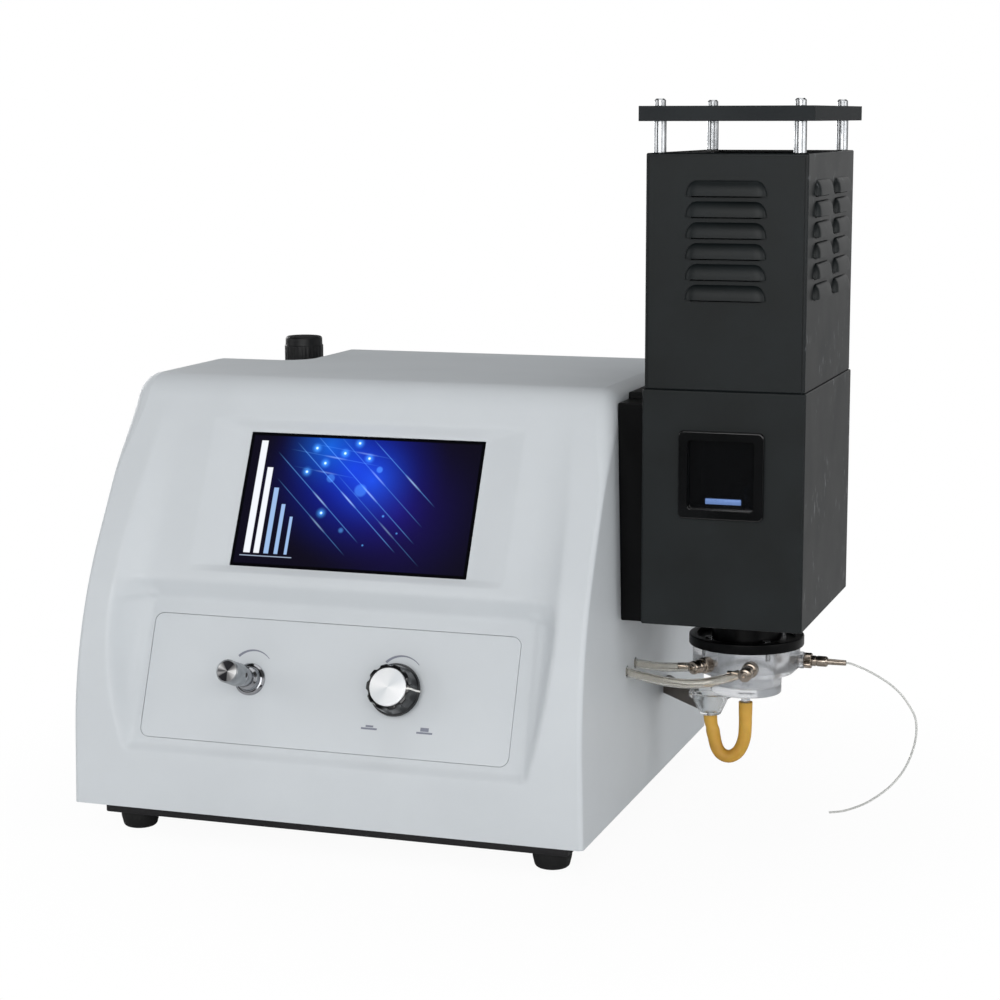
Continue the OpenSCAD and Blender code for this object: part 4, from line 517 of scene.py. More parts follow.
def smooth_by_angle(mesh, degrees):
    """Outward faces, smooth shading, and a crease wherever faces meet more sharply."""
    work = bmesh.new()
    work.from_mesh(mesh)
    bmesh.ops.recalc_face_normals(work, faces=work.faces)
    for face in work.faces:
        face.smooth = True
    for edge in work.edges:
        edge.smooth = (len(edge.link_faces) == 2
                       and edge.calc_face_angle(0) < math.radians(degrees))
    work.to_mesh(mesh)
    work.free()


def settle(made, degrees=40):
    """After cuts: new creases, and large faces keep their own normal."""
    smooth_by_angle(made.data, degrees)
    step = made.modifiers.new("normals", "WEIGHTED_NORMAL")
    step.keep_sharp = True


def rounded(path, closed=False, steps=3):
    """Path of (x, y) or (x, y, radius): each corner with a radius becomes an arc."""
    out = []
    count = len(path)
    for i, corner in enumerate(path):
        here = Vector(corner[:2])
        radius = corner[2] if len(corner) > 2 else 0
        if not radius or (not closed and i in (0, count - 1)):
            out.append(tuple(here))
            continue
        before = Vector(path[i - 1][:2]) - here
        after = Vector(path[(i + 1) % count][:2]) - here
        half = before.angle(after) / 2
        reach = min(radius / math.tan(half), before.length * 0.49, after.length * 0.49)
        radius = reach * math.tan(half)
        start, end = here + before.normalized() * reach, here + after.normalized() * reach
        middle = (before.normalized() + after.normalized()).normalized()
        centre = here + middle * (radius / math.sin(half))
        for k in range(steps + 1):
            spoke = (start - centre).lerp(end - centre, k / steps)
            out.append(tuple(centre + spoke.normalized() * radius))
    return out


def ring(radius, count):
    """Points on a circle, once round."""
    return [(radius * math.cos(a), radius * math.sin(a))
            for a in np.linspace(0, 2 * math.pi, count, endpoint=False)]


def revolve(profile, count=64, radius_at=None):
    """Turns (radius, height) round Z. It starts and ends on the axis, or closes."""
    closed = profile[0][0] > 1e-6 and profile[-1][0] > 1e-6
    points, rings = [], []
    for r, z in profile:
        if r < 1e-6:
            rings.append([len(points)])
            points.append((0, 0, z))
            continue
        row = []
        for k in range(count):
            a = 2 * math.pi * k / count
            rr = radius_at(r, z, a) if radius_at else r
            row.append(len(points))
            points.append((rr * math.cos(a), rr * math.sin(a), z))
        rings.append(row)
    faces = []
    for low, high in list(zip(rings, rings[1:])) + ([(rings[-1], rings[0])] if closed else []):
        for k in range(count):
            n = (k + 1) % count
            if len(low) == 1:
                faces.append((low[0], high[n], high[k]))
            elif len(high) == 1:
                faces.append((low[k], low[n], high[0]))
            else:
                faces.append((low[k], low[n], high[n], high[k]))
    return points, faces


def lathe(name, profile, place, slot, count=96, steps=4, radius_at=None, **more):
    """Turned piece: the corners of its profile are rounded, then it is revolved."""
    shape = revolve(rounded(profile, steps=steps), count, radius_at)
    return piece(name, *shape, place, slot, **more)


def joined(*shapes):
    """Several (points, faces) as one."""
    points, faces = [], []
    for more, some in shapes:
        start = len(points)
        points += list(more)
        faces += [tuple(start + i for i in f) for f in some]
    return points, faces


def moved(shape, matrix):
    return [tuple(matrix @ Vector(p)) for p in shape[0]], shape[1]


def prism(outline, low, high, edge=0.0, steps=2):
    """Upright solid on a closed outline, its top and bottom edges rounded."""
    levels = [(low, 0.0), (high, 0.0)]
    if edge:
        turns = [math.pi / 2 * k / steps for k in range(steps + 1)]
        arc = [(edge - edge * math.sin(a), edge - edge * math.cos(a)) for a in turns]
        levels = [(low + up, inset) for inset, up in arc]
        levels += [(high - up, inset) for inset, up in reversed(arc)]
    count = len(outline)
    points = []
    for z, inset in levels:
        for i in range(count):
            here = Vector(outline[i])
            into = Vector((0, 0))
            for a, b in ((outline[i - 1], here), (here, outline[(i + 1) % count])):
                run = Vector(b) - Vector(a)
                into += Vector((-run.y, run.x)).normalized()
            into.normalize()
            points.append(tuple(here + into * inset) + (z,))
    faces = [tuple(range(count))[::-1], tuple(range(len(points) - count, len(points)))]
    for level in range(len(levels) - 1):
        for i in range(count):
            a, b = level * count + i, level * count + (i + 1) % count
            faces.append((a, b, b + count, a + count))
    return points, faces


def plate_outline(x0, y0, x1, y1, radius, steps=6):
    return rounded([(x0, y0, radius), (x1, y0, radius), (x1, y1, radius), (x0, y1, radius)],
                   True, steps)


def block(x0, x1, y0, y1, z0, z1, edge=0.0):
    """Box with all its edges rounded."""
    return prism(plate_outline(x0, y0, x1, y1, max(edge, 0.02), 2), z0, z1, edge)


def cut(made, shape, place):
    """Takes a closed shape out of a piece, once and for all."""
    mesh = bpy.data.meshes.new("cutter")
    mesh.from_pydata([place @ Vector(p) for p in shape[0]], [], shape[1])
    tool = bpy.data.objects.new("cutter", mesh)
    bpy.context.scene.collection.objects.link(tool)
    work = bmesh.new()
    work.from_mesh(mesh)
    bmesh.ops.recalc_face_normals(work, faces=work.faces)
    work.to_mesh(mesh)
    work.free()
    step = made.modifiers.new("cut", "BOOLEAN")
    step.operation = "DIFFERENCE"
    step.solver = "EXACT"
    step.object = tool
    now = made.evaluated_get(bpy.context.evaluated_depsgraph_get())
    result = bpy.data.meshes.new_from_object(now)
    made.modifiers.clear()
    made.data = result
    bpy.data.objects.remove(tool)


def sweep(path, radius, count=20, bore=0.0, radius_at=None):
    """Round bar or tube along points, with flat ends."""
    route = [Vector(p) for p in path]
    stations = []
    side = None
    for i, here in enumerate(route):
        ahead = (route[min(i + 1, len(route) - 1)] - route[max(i - 1, 0)]).normalized()
        if side is None:
            side = ahead.cross(Vector((0, 0, 1) if abs(ahead.z) < 0.9 else (0, 1, 0))).normalized()
        side = (side - ahead * side.dot(ahead)).normalized()
        stations.append((here, side.copy(), ahead.cross(side), i / (len(route) - 1)))

    def section(station, r):
        here, a, b, t = station
        r = r * (radius_at(t) if radius_at else 1)
        turns = [2 * math.pi * k / count for k in range(count)]
        return [tuple(here + a * (r * math.cos(w)) + b * (r * math.sin(w))) for w in turns]

    walls = [section(station, radius) for station in stations]
    if bore:
        walls += [section(station, bore) for station in reversed(stations)]
    points = [p for wall in walls for p in wall]
    faces = []
    total = len(walls)
    for w in range(total if bore else total - 1):
        here, there = w * count, (w + 1) % total * count
        for k in range(count):
            n = (k + 1) % count
            faces.append((here + k, here + n, there + n, there + k))
    if not bore:
        faces += [tuple(range(count))[::-1], tuple(range((total - 1) * count, total * count))]
    return points, faces


def smooth_route(points, steps):
    """Catmull-Rom points through a route."""
    route = [Vector(p) for p in points]
    out = []
    for i in range(len(route) - 1):
        a, b = route[max(i - 1, 0)], route[i]
        c, d = route[i + 1], route[min(i + 2, len(route) - 1)]
        for k in range(steps):
            t = k / steps
            out.append(0.5 * ((2 * b) + (c - a) * t + (2 * a - 5 * b + 4 * c - d) * t * t
                              + (3 * b - a - 3 * c + d) * t ** 3))
    return out + [route[-1]]


# %% [markdown]
# The sample capillary is the only free cord: a stiff plastic line of 1.4 mm, seen
# from end to end in the photograph, which springs out of the nebulizer and hangs in
# one bow. A curve with a round section follows the source's points.

# %% Sample capillary
CAPILLARY = [(482.7, 110), (485, 109.9), (488, 109.1), (493.5, 107.2), (499.5, 104.7),
             (505.5, 101.6), (511.5, 98), (517, 93.6), (521, 89.4), (524.4, 84.6), (527, 80.4),
             (528.8, 76), (529.6, 70), (529.4, 64), (528.4, 58), (526.4, 51), (523.6, 44),
             (519.6, 37), (514.5, 30.4), (509.5, 25.4), (504, 20.8), (497.4, 16.2),
             (490.4, 12.6), (482, 9.4), (473.4, 7.8)]
line = smooth_route([SOURCE @ Vector((x, TOWER_Y, z)) for x, z in CAPILLARY], 4)
shape = bpy.data.curves.new("capillary", "CURVE")
shape.dimensions = "3D"
spline = shape.splines.new("POLY")
spline.points.add(len(line) - 1)
for point, here in zip(spline.points, line):
    point.co = (*here, 1)
shape.bevel_depth = 0.0007
shape.bevel_resolution = 4
shape.use_fill_caps = True
shape.materials.append(FINISHES["capillary"])
capillary = bpy.data.objects.new("capillary", shape)
bpy.context.scene.collection.objects.link(capillary)
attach(capillary, "root")
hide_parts("sample_capillary")

# %% [markdown]
# The housing is one moulding whose front sweeps back and carries a recess with two
# slopes. All its edges melt into each other. The CAD solid has the form in facets;
# here the same formulas give a fine skin. Rows run up the front, over the top and
# down the back. The recess is a map of depths, blurred a little, which is what
# rounds every edge of it alike.

# %% Housing formulas
W, D, TOP, BASE = 350.0, 325.0, 292.0, 17.0
DRAFT = 6.0                                    # Each side leans in by this much
LEAN = math.radians(31)
FRONT_R, BACK_R, SIDE_R = 25.0, 30.0, 12.0
RECESS_TOP, FADE = 285.0, 9.0
CHEEK, CHEEK_TOP_R = 20, 14                    # Narrowest cheek, and its turn at the top
CHEEK_R = {"control": 347, "display": 800}     # Radii of the cheeks' curved edges
sweep_top = (SWEEP_R * (1 - math.cos(LEAN)), SWEEP_Z + SWEEP_R * math.sin(LEAN))
arc_z = TOP - FRONT_R
arc_y = sweep_top[0] + FRONT_R * math.cos(LEAN) + (
    (arc_z - sweep_top[1] + FRONT_R * math.sin(LEAN)) / math.cos(LEAN)) * math.sin(LEAN)
lean_end = arc_z + FRONT_R * math.sin(LEAN)


def side_x(z):
    return (z - BASE) * DRAFT / (TOP - BASE)


def front_y(z):
    if z <= SWEEP_Z:
        return 0.0
    if z < sweep_top[1]:
        return SWEEP_R - math.sqrt(SWEEP_R ** 2 - (z - SWEEP_Z) ** 2)
    if z < lean_end:
        return sweep_top[0] + (z - sweep_top[1]) * math.tan(LEAN)
    return arc_y - math.sqrt(max(FRONT_R ** 2 - (z - arc_z) ** 2, 0))


def control_y(z):
    return CONTROL_IN + (z - SILL_Z) * math.tan(math.radians(CONTROL_LEAN))


def panel_y(z):
    """The two slopes of the recess, and the ledge between them."""
    if z <= LEDGE_LOW:
        return control_y(z)
    if z >= LEDGE_TOP:
        return DISPLAY_Y + (z - LEDGE_TOP) * math.tan(math.radians(DISPLAY_LEAN))
    low = control_y(LEDGE_LOW)
    return low + (DISPLAY_Y - low) * (z - LEDGE_LOW) / (LEDGE_TOP - LEDGE_LOW)


def cheek_edge(z):
    radius = CHEEK_R["control" if z < LEDGE_TOP else "display"]
    edge = side_x(z) + CHEEK + (z - LEDGE_TOP) ** 2 / (2 * radius)
    above = z - RECESS_TOP + CHEEK_TOP_R
    if above > 0:
        edge += CHEEK_TOP_R - math.sqrt(max(0, CHEEK_TOP_R ** 2 - above ** 2))
    return edge


def band_end(z):
    """Where the cheek's slope meets the recess's floor."""
    return max(side_x(z) + 37, cheek_edge(z) + 1.5) if z <= LEDGE_LOW else cheek_edge(z) + 22


# %% Depth map of the recess
STEP = 0.5
xs = np.arange(0, W + STEP, STEP)
zs = np.arange(BASE - 10, TOP + 10, STEP)
depth = np.zeros((len(zs), len(xs)))
from_side = np.minimum(xs, W - xs)
for row, z in enumerate(zs):
    if not SILL_Z <= z <= RECESS_TOP:
        continue
    full = (panel_y(z) - front_y(z)) * (min(1, (RECESS_TOP - z) / FADE))
    full = max(0.0, full) * min(1, (z - SILL_Z) / 1.5)
    c, b = cheek_edge(z), band_end(z)
    lip = min(3.0, full * 0.4) * min(1.0, max(0.0, (LEDGE_LOW + 6 - z) / 6))
    t = np.clip((from_side - c) / (b - c), 0, 1)
    depth[row] = (full - lip) * (1 - (1 - t) ** 2) + lip * np.clip((from_side - b) / 1.5, 0, 1)


def blurred(field, sigma):
    reach = int(4 * sigma / STEP)
    kernel = np.exp(-0.5 * (np.arange(-reach, reach + 1) * STEP / sigma) ** 2)
    kernel /= kernel.sum()
    for axis in (0, 1):
        field = np.apply_along_axis(
            lambda line: np.convolve(np.pad(line, reach, "edge"), kernel, "valid"), axis, field)
    return field


depth = blurred(depth, 1.3)
# The flared pocket round the screen, sharper than the rest
gx, gv, gw, gh = GLASS
lean = math.radians(DISPLAY_LEAN)
pocket = np.zeros_like(depth)
POCKET = 4.5
for row, z in enumerate(zs):
    if not LEDGE_TOP - 4 < z < RECESS_TOP:
        continue
    w = np.full(len(xs), POCKET)
    for _ in range(8):
        v = (z - LEDGE_TOP + w * math.sin(lean)) / math.cos(lean)
        out = np.maximum.reduce([(gx - 3 - xs) / 24, (xs - gx - gw - 3) / 24, (gv - 1.5 - v) / 2.5,
                                 (v - gv - gh - 1.5) / 6.5, np.zeros(len(xs))])
        w = 0.5 * w + 0.5 * POCKET * np.clip(1 - out, 0, 1)
    pocket[row] = w / math.cos(lean)
depth += blurred(pocket, 0.5)
print("depth map:", depth.shape, "deepest, mm:", round(float(depth.max()), 1))


def depth_at(x, z):
    i, j = (z - zs[0]) / STEP, x / STEP
    i0, j0 = int(i), min(int(j), len(xs) - 2)
    a, b = i - i0, j - j0
    return ((depth[i0, j0] * (1 - a) + depth[i0 + 1, j0] * a) * (1 - b)
            + (depth[i0, j0 + 1] * (1 - a) + depth[i0 + 1, j0 + 1] * a) * b)


# %% Housing skin
def ease(t):
    t = min(max(t, 0), 1)
    return t * t * (3 - 2 * t)


rows = []          # y, z, normal into the body (y, z), edge radius, takes the recess
for z in np.concatenate([[BASE], np.arange(BASE + 2, 55, 3.0), np.arange(55, 286, 1.6)]):
    if z < SWEEP_Z:
        a = 0.0
    elif z < lean_end:
        a = math.asin(min((z - SWEEP_Z) / SWEEP_R, math.sin(LEAN)))
    else:
        a = math.asin((z - arc_z) / FRONT_R)
    rows.append((front_y(z), float(z), (math.cos(a), -math.sin(a)), 3 + 9 * ease((z - 225) / 55),
                 True))
start = math.asin((rows[-1][1] - arc_z) / FRONT_R)
for a in np.linspace(start, math.pi / 2, 8)[1:]:
    rows.append((arc_y - FRONT_R * math.cos(a), arc_z + FRONT_R * math.sin(a),
                 (math.cos(a), -math.sin(a)), SIDE_R, False))
for y in np.linspace(arc_y, D - BACK_R, 14)[1:-1]:
    rows.append((float(y), TOP, (0.0, -1.0), SIDE_R, False))
for share in np.linspace(0, 1, 10):
    a = math.pi / 2 * share
    rows.append((D - BACK_R + BACK_R * math.sin(a), TOP - BACK_R + BACK_R * math.cos(a),
                 (-math.sin(a), -math.cos(a)), SIDE_R - 8 * ease(share), False))
for z in np.linspace(TOP - BACK_R, BASE, 14)[1:]:
    rows.append((D, float(z), (-1.0, 0.0), 4.0, False))

FILLET = 5                                     # Steps round a side's edge
EDGE_IN = 15                                   # Columns of the depth map start here
points = []
for y, z, into, r, recess in rows:
    row = []
    for k in range(FILLET + 1):
        a = math.pi / 2 * k / FILLET
        inset, sink = r * (1 - math.sin(a)), r * (1 - math.cos(a))
        zz = z + into[1] * inset
        row.append((side_x(zz) + sink, y + into[0] * inset, zz))
    left, right = side_x(z) + r, W - side_x(z) - r
    for across in np.arange(EDGE_IN, W - EDGE_IN + 0.01, 1.6):
        x = left + (right - left) * (across - EDGE_IN + 0.01) / (W - 2 * EDGE_IN + 0.02)
        row.append((x, y + (depth_at(x, z) if recess else 0), z))
    row += [(W - x, yy, zz) for x, yy, zz in row[FILLET::-1]]
    points += row
width = len(row)
faces = [(a, a + 1, a + width + 1, a + width) for r in range(len(rows) - 1)
         for a in range(r * width, (r + 1) * width - 1)]
last = (len(rows) - 1) * width
faces.append(tuple(r * width for r in range(len(rows))))
faces.append(tuple(r * width + width - 1 for r in range(len(rows)))[::-1])
faces.append(tuple(range(width))[::-1] + tuple(range(last, last + width)))
housing = piece("housing_moulding", points, faces, SOURCE, "shell", stands_for=["housing"],
                sharp=50)
print("housing faces:", len(housing.data.polygons))

# %% [markdown]
# The base is a black coated steel tray. Its folded lip follows the moulding's foot a
# few millimetres in. The feet are moulded rubber cups with a round lower edge and a
# sunk hole for their screw.

# %% Base lip and feet
lip = piece("base_lip", *prism(plate_outline(20, 4.6, 339, 320.4, 2.5, 5), 11, 17, 0.6), SOURCE,
            "black_coat", sharp=40)
cut(lip, block(20.8, 338.2, 9.4, 315.6, 5, 25), SOURCE)
foot = rounded([(4.6, 4.9), (4.6, 0, 0.4), (10.7, 0, 2.9), (12.4, 7, 5), (12.8, 10.95),
                (2.4, 10.95), (2.4, 4.9)], steps=5)
piece("feet_moulded", *joined(*[moved(revolve(foot, 64), Matrix.Translation((x, y, 0)))
                                for x in (39, 325) for y in (18, 301)]),
      SOURCE, "rubber", stands_for=["feet"], sharp=40)

# %% [markdown]
# What goes through the moulding is cut out at the end: the corner notch behind the
# regulator, the seat of the control plate, the screen's aperture, the opening behind
# the rear panel, the two hose holes and the light path.

# %% Openings of the housing
NOTCH_X, NOTCH_Y, NOTCH_Z, NOTCH_R = 82, 207, 135, 22
SEAT = 0.3                                     # Clearance round plate and glass
notch = [(-30, NOTCH_Y), (NOTCH_X - NOTCH_R, NOTCH_Y)]
notch += [(NOTCH_X - NOTCH_R + NOTCH_R * math.sin(a), NOTCH_Y + NOTCH_R - NOTCH_R * math.cos(a))
          for a in np.linspace(0, math.pi / 2, 9)]
notch += [(NOTCH_X, 400), (-30, 400)]
plate = plate_outline(46 - SEAT, 8 - SEAT, 299.5 + SEAT, 90 + SEAT, 6.3, 8)
glass = plate_outline(gx - SEAT, gv - SEAT, gx + gw + SEAT, gv + gh + SEAT, 0.5, 2)
on_display = at(0, DISPLAY_Y, LEDGE_TOP, turned("X", 90 - DISPLAY_LEAN))
openings = [(prism(notch, NOTCH_Z, 400), SOURCE), (prism(plate, -1.5, 20), on_control(0, 0)),
            (prism(glass, -20, 6), on_display),
            (prism([(109, 200), (308, 200), (308, 335), (109, 335)], 40, 238), SOURCE)]
openings += [(prism(ring(4.1, 24), -14, 10), at(W, y, z, ALONG_X)) for y, z in HOSE_HOLES]
openings += [(prism(ring(24, 40), -60, 10), at(W, TOWER_Y, LIGHT_Z, ALONG_X))]
for shape, place in openings:
    cut(housing, shape, place)
settle(housing, 50)
print("housing faces after cuts:", len(housing.data.polygons))

# %% [markdown]
# The panel's ink is printed: it has hardly any height. Each knob has a wedge-shaped
# arc that says which way the flow grows, and the gas knob has two small pictures of
# a button, pressed and raised. The words of the real panel are left off.

# %% Marks on the control panel
INK = 0.06                                     # Height of the print


def wedge_arc(x, v, radius, first=136, last=42, thick=1.7, thin=0.4, steps=28):
    outer, inner = [], []
    for k in range(steps + 1):
        t = k / steps
        a = math.radians(first + (last - first) * t)
        half = (thick + (thin - thick) * t) / 2
        outer.append((x + (radius + half) * math.cos(a), v + (radius + half) * math.sin(a)))
        inner.append((x + (radius - half) * math.cos(a), v + (radius - half) * math.sin(a)))
    return prism(inner[::-1] + outer, 0, INK)


buttons = [(199.4, 210.2, 24.3, 25.5), (202.4, 207.6, 25.9, 27.1),
           (236.9, 247.6, 24.3, 25.5), (239.4, 245.0, 25.9, 28.3)]
marks = joined(wedge_arc(FINE_X + 0.6, KNOB_V + 4.4, 14.7),
               wedge_arc(GAS_X + 1.2, KNOB_V + 7.0, 15.4),
               *[block(*edges, 0, INK) for edges in buttons])
piece("panel_marks", *marks, on_control(0, 0), None, finish_name="panel_ink")

# %% [markdown]
# Turned parts are revolved from their profile, with each edge broken by a small arc,
# because the bright line that runs round such an edge is what makes metal look turned.

# %% Fine valve: flange, stepped bushing and knob
lathe("fine_bushing", [(10.5, 0), (10.5, 1.3, 0.5), (9.0, 2.3, 0.6), (8.0, 2.6, 0.5),
                       (7.4, 6.0, 0.8), (5.6, 7.2, 0.6), (5.6, 9.4, 0.4), (6.4, 9.9, 0.4),
                       (6.4, 18.0, 0.4), (5.6, 18.8, 0.3), (5.6, 19.7), (3.05, 19.7),
                       (3.05, -14.5), (6.0, -14.5), (6.0, 0)],
      on_control(FINE_X, KNOB_V), "chrome", stands_for=["fine_valve_bushing"],
      finish_name="dark_chrome")
fine_place = on_control(FINE_X, KNOB_V, 20)
fine_knob = lathe("fine_knob_turned", [(0, 13.9), (3.05, 13.9), (3.05, 0), (6.9, 0),
                                       (7.5, 0.6, 0.4), (7.5, 17.1, 0.15), (6.8, 17.9, 0.3),
                                       (0, 17.1)],
                  fine_place, "chrome", body="fine_spindle", stands_for=["fine_knob"], sharp=40,
                  finish_name="satin_nickel")
cut(fine_knob, prism(ring(1.6, 20), 4, 9),
    fine_place @ Matrix.Translation((0, 0, 3.4)) @ ALONG_X.to_4x4())
settle(fine_knob)
# The end face's finish carries painted highlight wedges round the middle
lathe("fine_knob_face", [(0, 17.13), (6.5, 17.92), (6.5, 17.6), (0, 16.8)], fine_place, None, 72,
      body="fine_spindle", finish_name="fine_face_painted_sheen")

# %% Gas knob: skirt, ten lobes, aluminium cap and pointer
LOBES, LOBE_R, FLUTE_AT, FLUTE_R = 10, 15.5, 17.9, 3.6
SKIRT_TOP, BODY_R = 2.6, 13.2                  # The flutes start above and outside these
gas_place = on_control(GAS_X, KNOB_V, 4.8)


def lobed(r, z, a):
    """The skirt stays round; above it the flutes bite into the body."""
    if z < SKIRT_TOP or r < BODY_R:
        return r
    off = abs((a / (2 * math.pi / LOBES)) % 1 - 0.5) * 2 * math.pi / LOBES
    reach = FLUTE_AT * math.sin(off)
    if reach >= FLUTE_R:
        return r
    near = FLUTE_AT * math.cos(off) - math.sqrt(FLUTE_R ** 2 - reach ** 2)
    deep = min(near / LOBE_R, 1)
    return r * (1 - (1 - deep) * min(1, (z - SKIRT_TOP) / 1.2))


lathe("gas_knob_body", [(9.25, 0), (17.25, 0, 0.3), (16.6, 2.1, 0.6), (15.9, 2.5, 0.4),
                        (15.2, 8.0, 4.0), (14.7, 13.6, 1.0), (12.6, 14.0, 0.3), (12.25, 13.0),
                        (3.1, 13.0), (3.1, 5.6), (9.25, 5.5)],
      gas_place, "knob_black", 200, 5, lobed, body="gas_dial", stands_for=["gas_knob"], sharp=50)
# The cap's finish carries painted highlight wedges round the middle
lathe("gas_cap_disc", [(0, 13.02), (12.2, 13.02), (12.2, 13.9, 0.15), (11.7, 14.3, 0.2),
                       (0, 14.05)],
      gas_place, "spun_aluminium", 96, 3, body="gas_dial", stands_for=["gas_knob_cap"],
      finish_name="gas_face_painted_sheen", sharp=40)
# The pointer is a white strip laid over the knob's edge, from its top down to the skirt
points, faces = [], []
for r, z in [(12.4, 14.03), (14.4, 13.75), (15.35, 12.6), (15.5, 8.0), (15.95, 3.0), (16.75, 2.3),
             (17.2, 1.0)]:
    points += [(r + out, across, z + up) for out, across, up in (
        (-0.25, -0.55, -0.1), (0.12, -0.55, 0.06), (0.12, 0.55, 0.06), (-0.25, 0.55, -0.1))]
for a in range(0, len(points) - 4, 4):
    faces += [(a + k, a + (k + 1) % 4, a + 4 + (k + 1) % 4, a + 4 + k) for k in range(4)]
faces += [(3, 2, 1, 0), tuple(range(len(points) - 4, len(points)))]
piece("gas_pointer", points, faces, gas_place, None, body="gas_dial", finish_name="white_plastic",
      sharp=50)

# %% [markdown]
# The regulator's knob is moulded in two tiers: a ribbed grip and above it a plain
# cap with a soft edge. Ribs are a wave on the radius.

# %% Regulator knob
RIBS, RIB_DEPTH, GRIP_TOP, GRIP_R = 24, 0.9, 20.0, 13.8


def ribbed(r, z, a):
    if z > GRIP_TOP or r < GRIP_R:
        return r
    wave = abs(math.cos(a * RIBS / 2)) ** 6
    return r - RIB_DEPTH * wave * min(1, (GRIP_TOP - z) / 0.8)


lathe("regulator_knob_moulded", [(0, 22), (4.7, 22), (4.7, 0), (14.2, 0, 0.6), (14.25, 20.3, 0.5),
                                 (13.7, 20.6, 0.3), (13.5, 26.9, 1.9), (0, 27.0)],
      at(53.5, 272.0, 276.5), "knob_black", 192, 6, ribbed, body="regulator_dial",
      stands_for=["regulator_knob"], sharp=45, finish_name="grip_black")

# %% [markdown]
# The tower is folded from 1.2 mm sheet. Bends leave a radius of about 1 mm at every
# upright edge. The chimney's louvres are pressed from the same sheet: each is a hood
# with a flat face, a rounded crown and rounded upper corners, open along its foot,
# where the sheet was slit. So the shell is a box with slots, and the hoods sit on it.

# %% Flame box and chimney
BOX = (364.0, 467.8, 81.4, 239.2, 144.8, 295.1)        # x, y and z, each from and to
CHIMNEY = (365.0, 466.8, 82.4, 238.2, 295.1, 441.6)
WINDOW = (388.0, 442.6, 214.4, 270.3)                  # x and z, each from and to
SHEET = 1.2


def tub(name, box, stands_for):
    """Hollow sheet box, closed all round."""
    x0, x1, y0, y1, z0, z1 = box
    made = piece(name, *prism(plate_outline(x0, y0, x1, y1, 1.2, 4), z0, z1, 1.0, 3), SOURCE,
                 "tower_black", stands_for=[stands_for], sharp=40)
    cut(made, block(x0 + SHEET, x1 - SHEET, y0 + SHEET, y1 - SHEET, z0 + SHEET, z1 - SHEET), SOURCE)
    return made


def hatch(margin, z):
    """Opening through a floor or a top, so far inside the box's walls."""
    return block(BOX[0] + margin, BOX[1] - margin, BOX[2] + margin, BOX[3] - margin, z - 5, z + 5)


flame_box = tub("flame_box_sheet", BOX, "flame_box")
cut(flame_box, hatch(10, BOX[5]), SOURCE)
cut(flame_box, block(WINDOW[0] + 6, WINDOW[1] - 6, BOX[2] - 2, BOX[2] + 4, WINDOW[2] + 6,
                     WINDOW[3] - 6), SOURCE)
# Round holes: the burner, the igniter's electrode and the light path
cut(flame_box, prism(ring(15, 40), -2, 4), at(BURNER_X, TOWER_Y, BOX[4]))
cut(flame_box, prism(ring(2.55, 40), -2, 4), at(435, 179, BOX[4]))
cut(flame_box, prism(ring(18, 40), -3, 4), at(BOX[0], TOWER_Y, LIGHT_Z, ALONG_X))
settle(flame_box)

LOUVRES, PITCH, LOUVRE_LOW = 6, 12.8, 56.5     # In a column, their spacing, the lowest's height
LOUVRE_L, LOUVRE_H, LOUVRE_OUT, CORNER = 51.0, 9.5, 3.5, 8.0
mid_x, mid_y = (CHIMNEY[0] + CHIMNEY[1]) / 2, (CHIMNEY[2] + CHIMNEY[3]) / 2
# Columns: a point on each face, and the turn that points a hood out of it
COLUMNS = [(mid_x, CHIMNEY[2], 0), (mid_x, CHIMNEY[3], 180),
           (CHIMNEY[1], mid_y - 32.5, 90), (CHIMNEY[1], mid_y + 32.5, 90)]


def hood(rows=11):
    """Louvre hood on the plane y = 0, out towards -Y, open at z = 0."""
    half = LOUVRE_L / 2
    stops = [half - CORNER * (1 - math.cos(math.radians(a))) for a in range(0, 91, 9)]
    skin = []
    for u in [-u for u in stops] + [-6.0, 6.0] + stops[::-1]:
        past = min(max(0, abs(u) - (half - CORNER)) / CORNER, 0.995)
        top = LOUVRE_H * math.sqrt(max(0, 1 - past ** 2.4))
        side = math.sqrt(max(0, 1 - past ** 2.6))
        for k in range(rows):
            b = math.sin(math.pi / 2 * k / (rows - 1))
            rise = max(0, 1 - b ** 2.3) ** 0.62
            skin.append((u, -LOUVRE_OUT * rise * side, top * b))
    points = [(u * (1 - inside / half), min(y + inside, 0.3), max(z - inside, 0))
              for inside in (0.0, 0.9) for u, y, z in skin]
    faces = []
    for layer in (0, len(skin)):
        for column in range(layer, layer + len(skin) - rows, rows):
            for a in range(column, column + rows - 1):
                quad = (a, a + rows, a + rows + 1, a + 1)
                faces.append(quad[::-1] if layer else quad)
    for a in range(0, len(skin) - rows, rows):
        faces.append((a + rows, a, a + len(skin), a + len(skin) + rows))
    return points, faces


def on_columns(shape):
    return joined(*[moved(shape, Matrix.Translation((x, y, CHIMNEY[4] + LOUVRE_LOW + i * PITCH))
                          @ Matrix.Rotation(math.radians(turn), 4, "Z"))
                    for x, y, turn in COLUMNS for i in range(LOUVRES)])


chimney = tub("chimney_sheet", CHIMNEY, "chimney_shell")
cut(chimney, hatch(16, CHIMNEY[5]), SOURCE)
cut(chimney, hatch(10, CHIMNEY[4]), SOURCE)
cut(chimney, on_columns(block(-22, 22, -2, 3, -0.9, 6.0)), SOURCE)
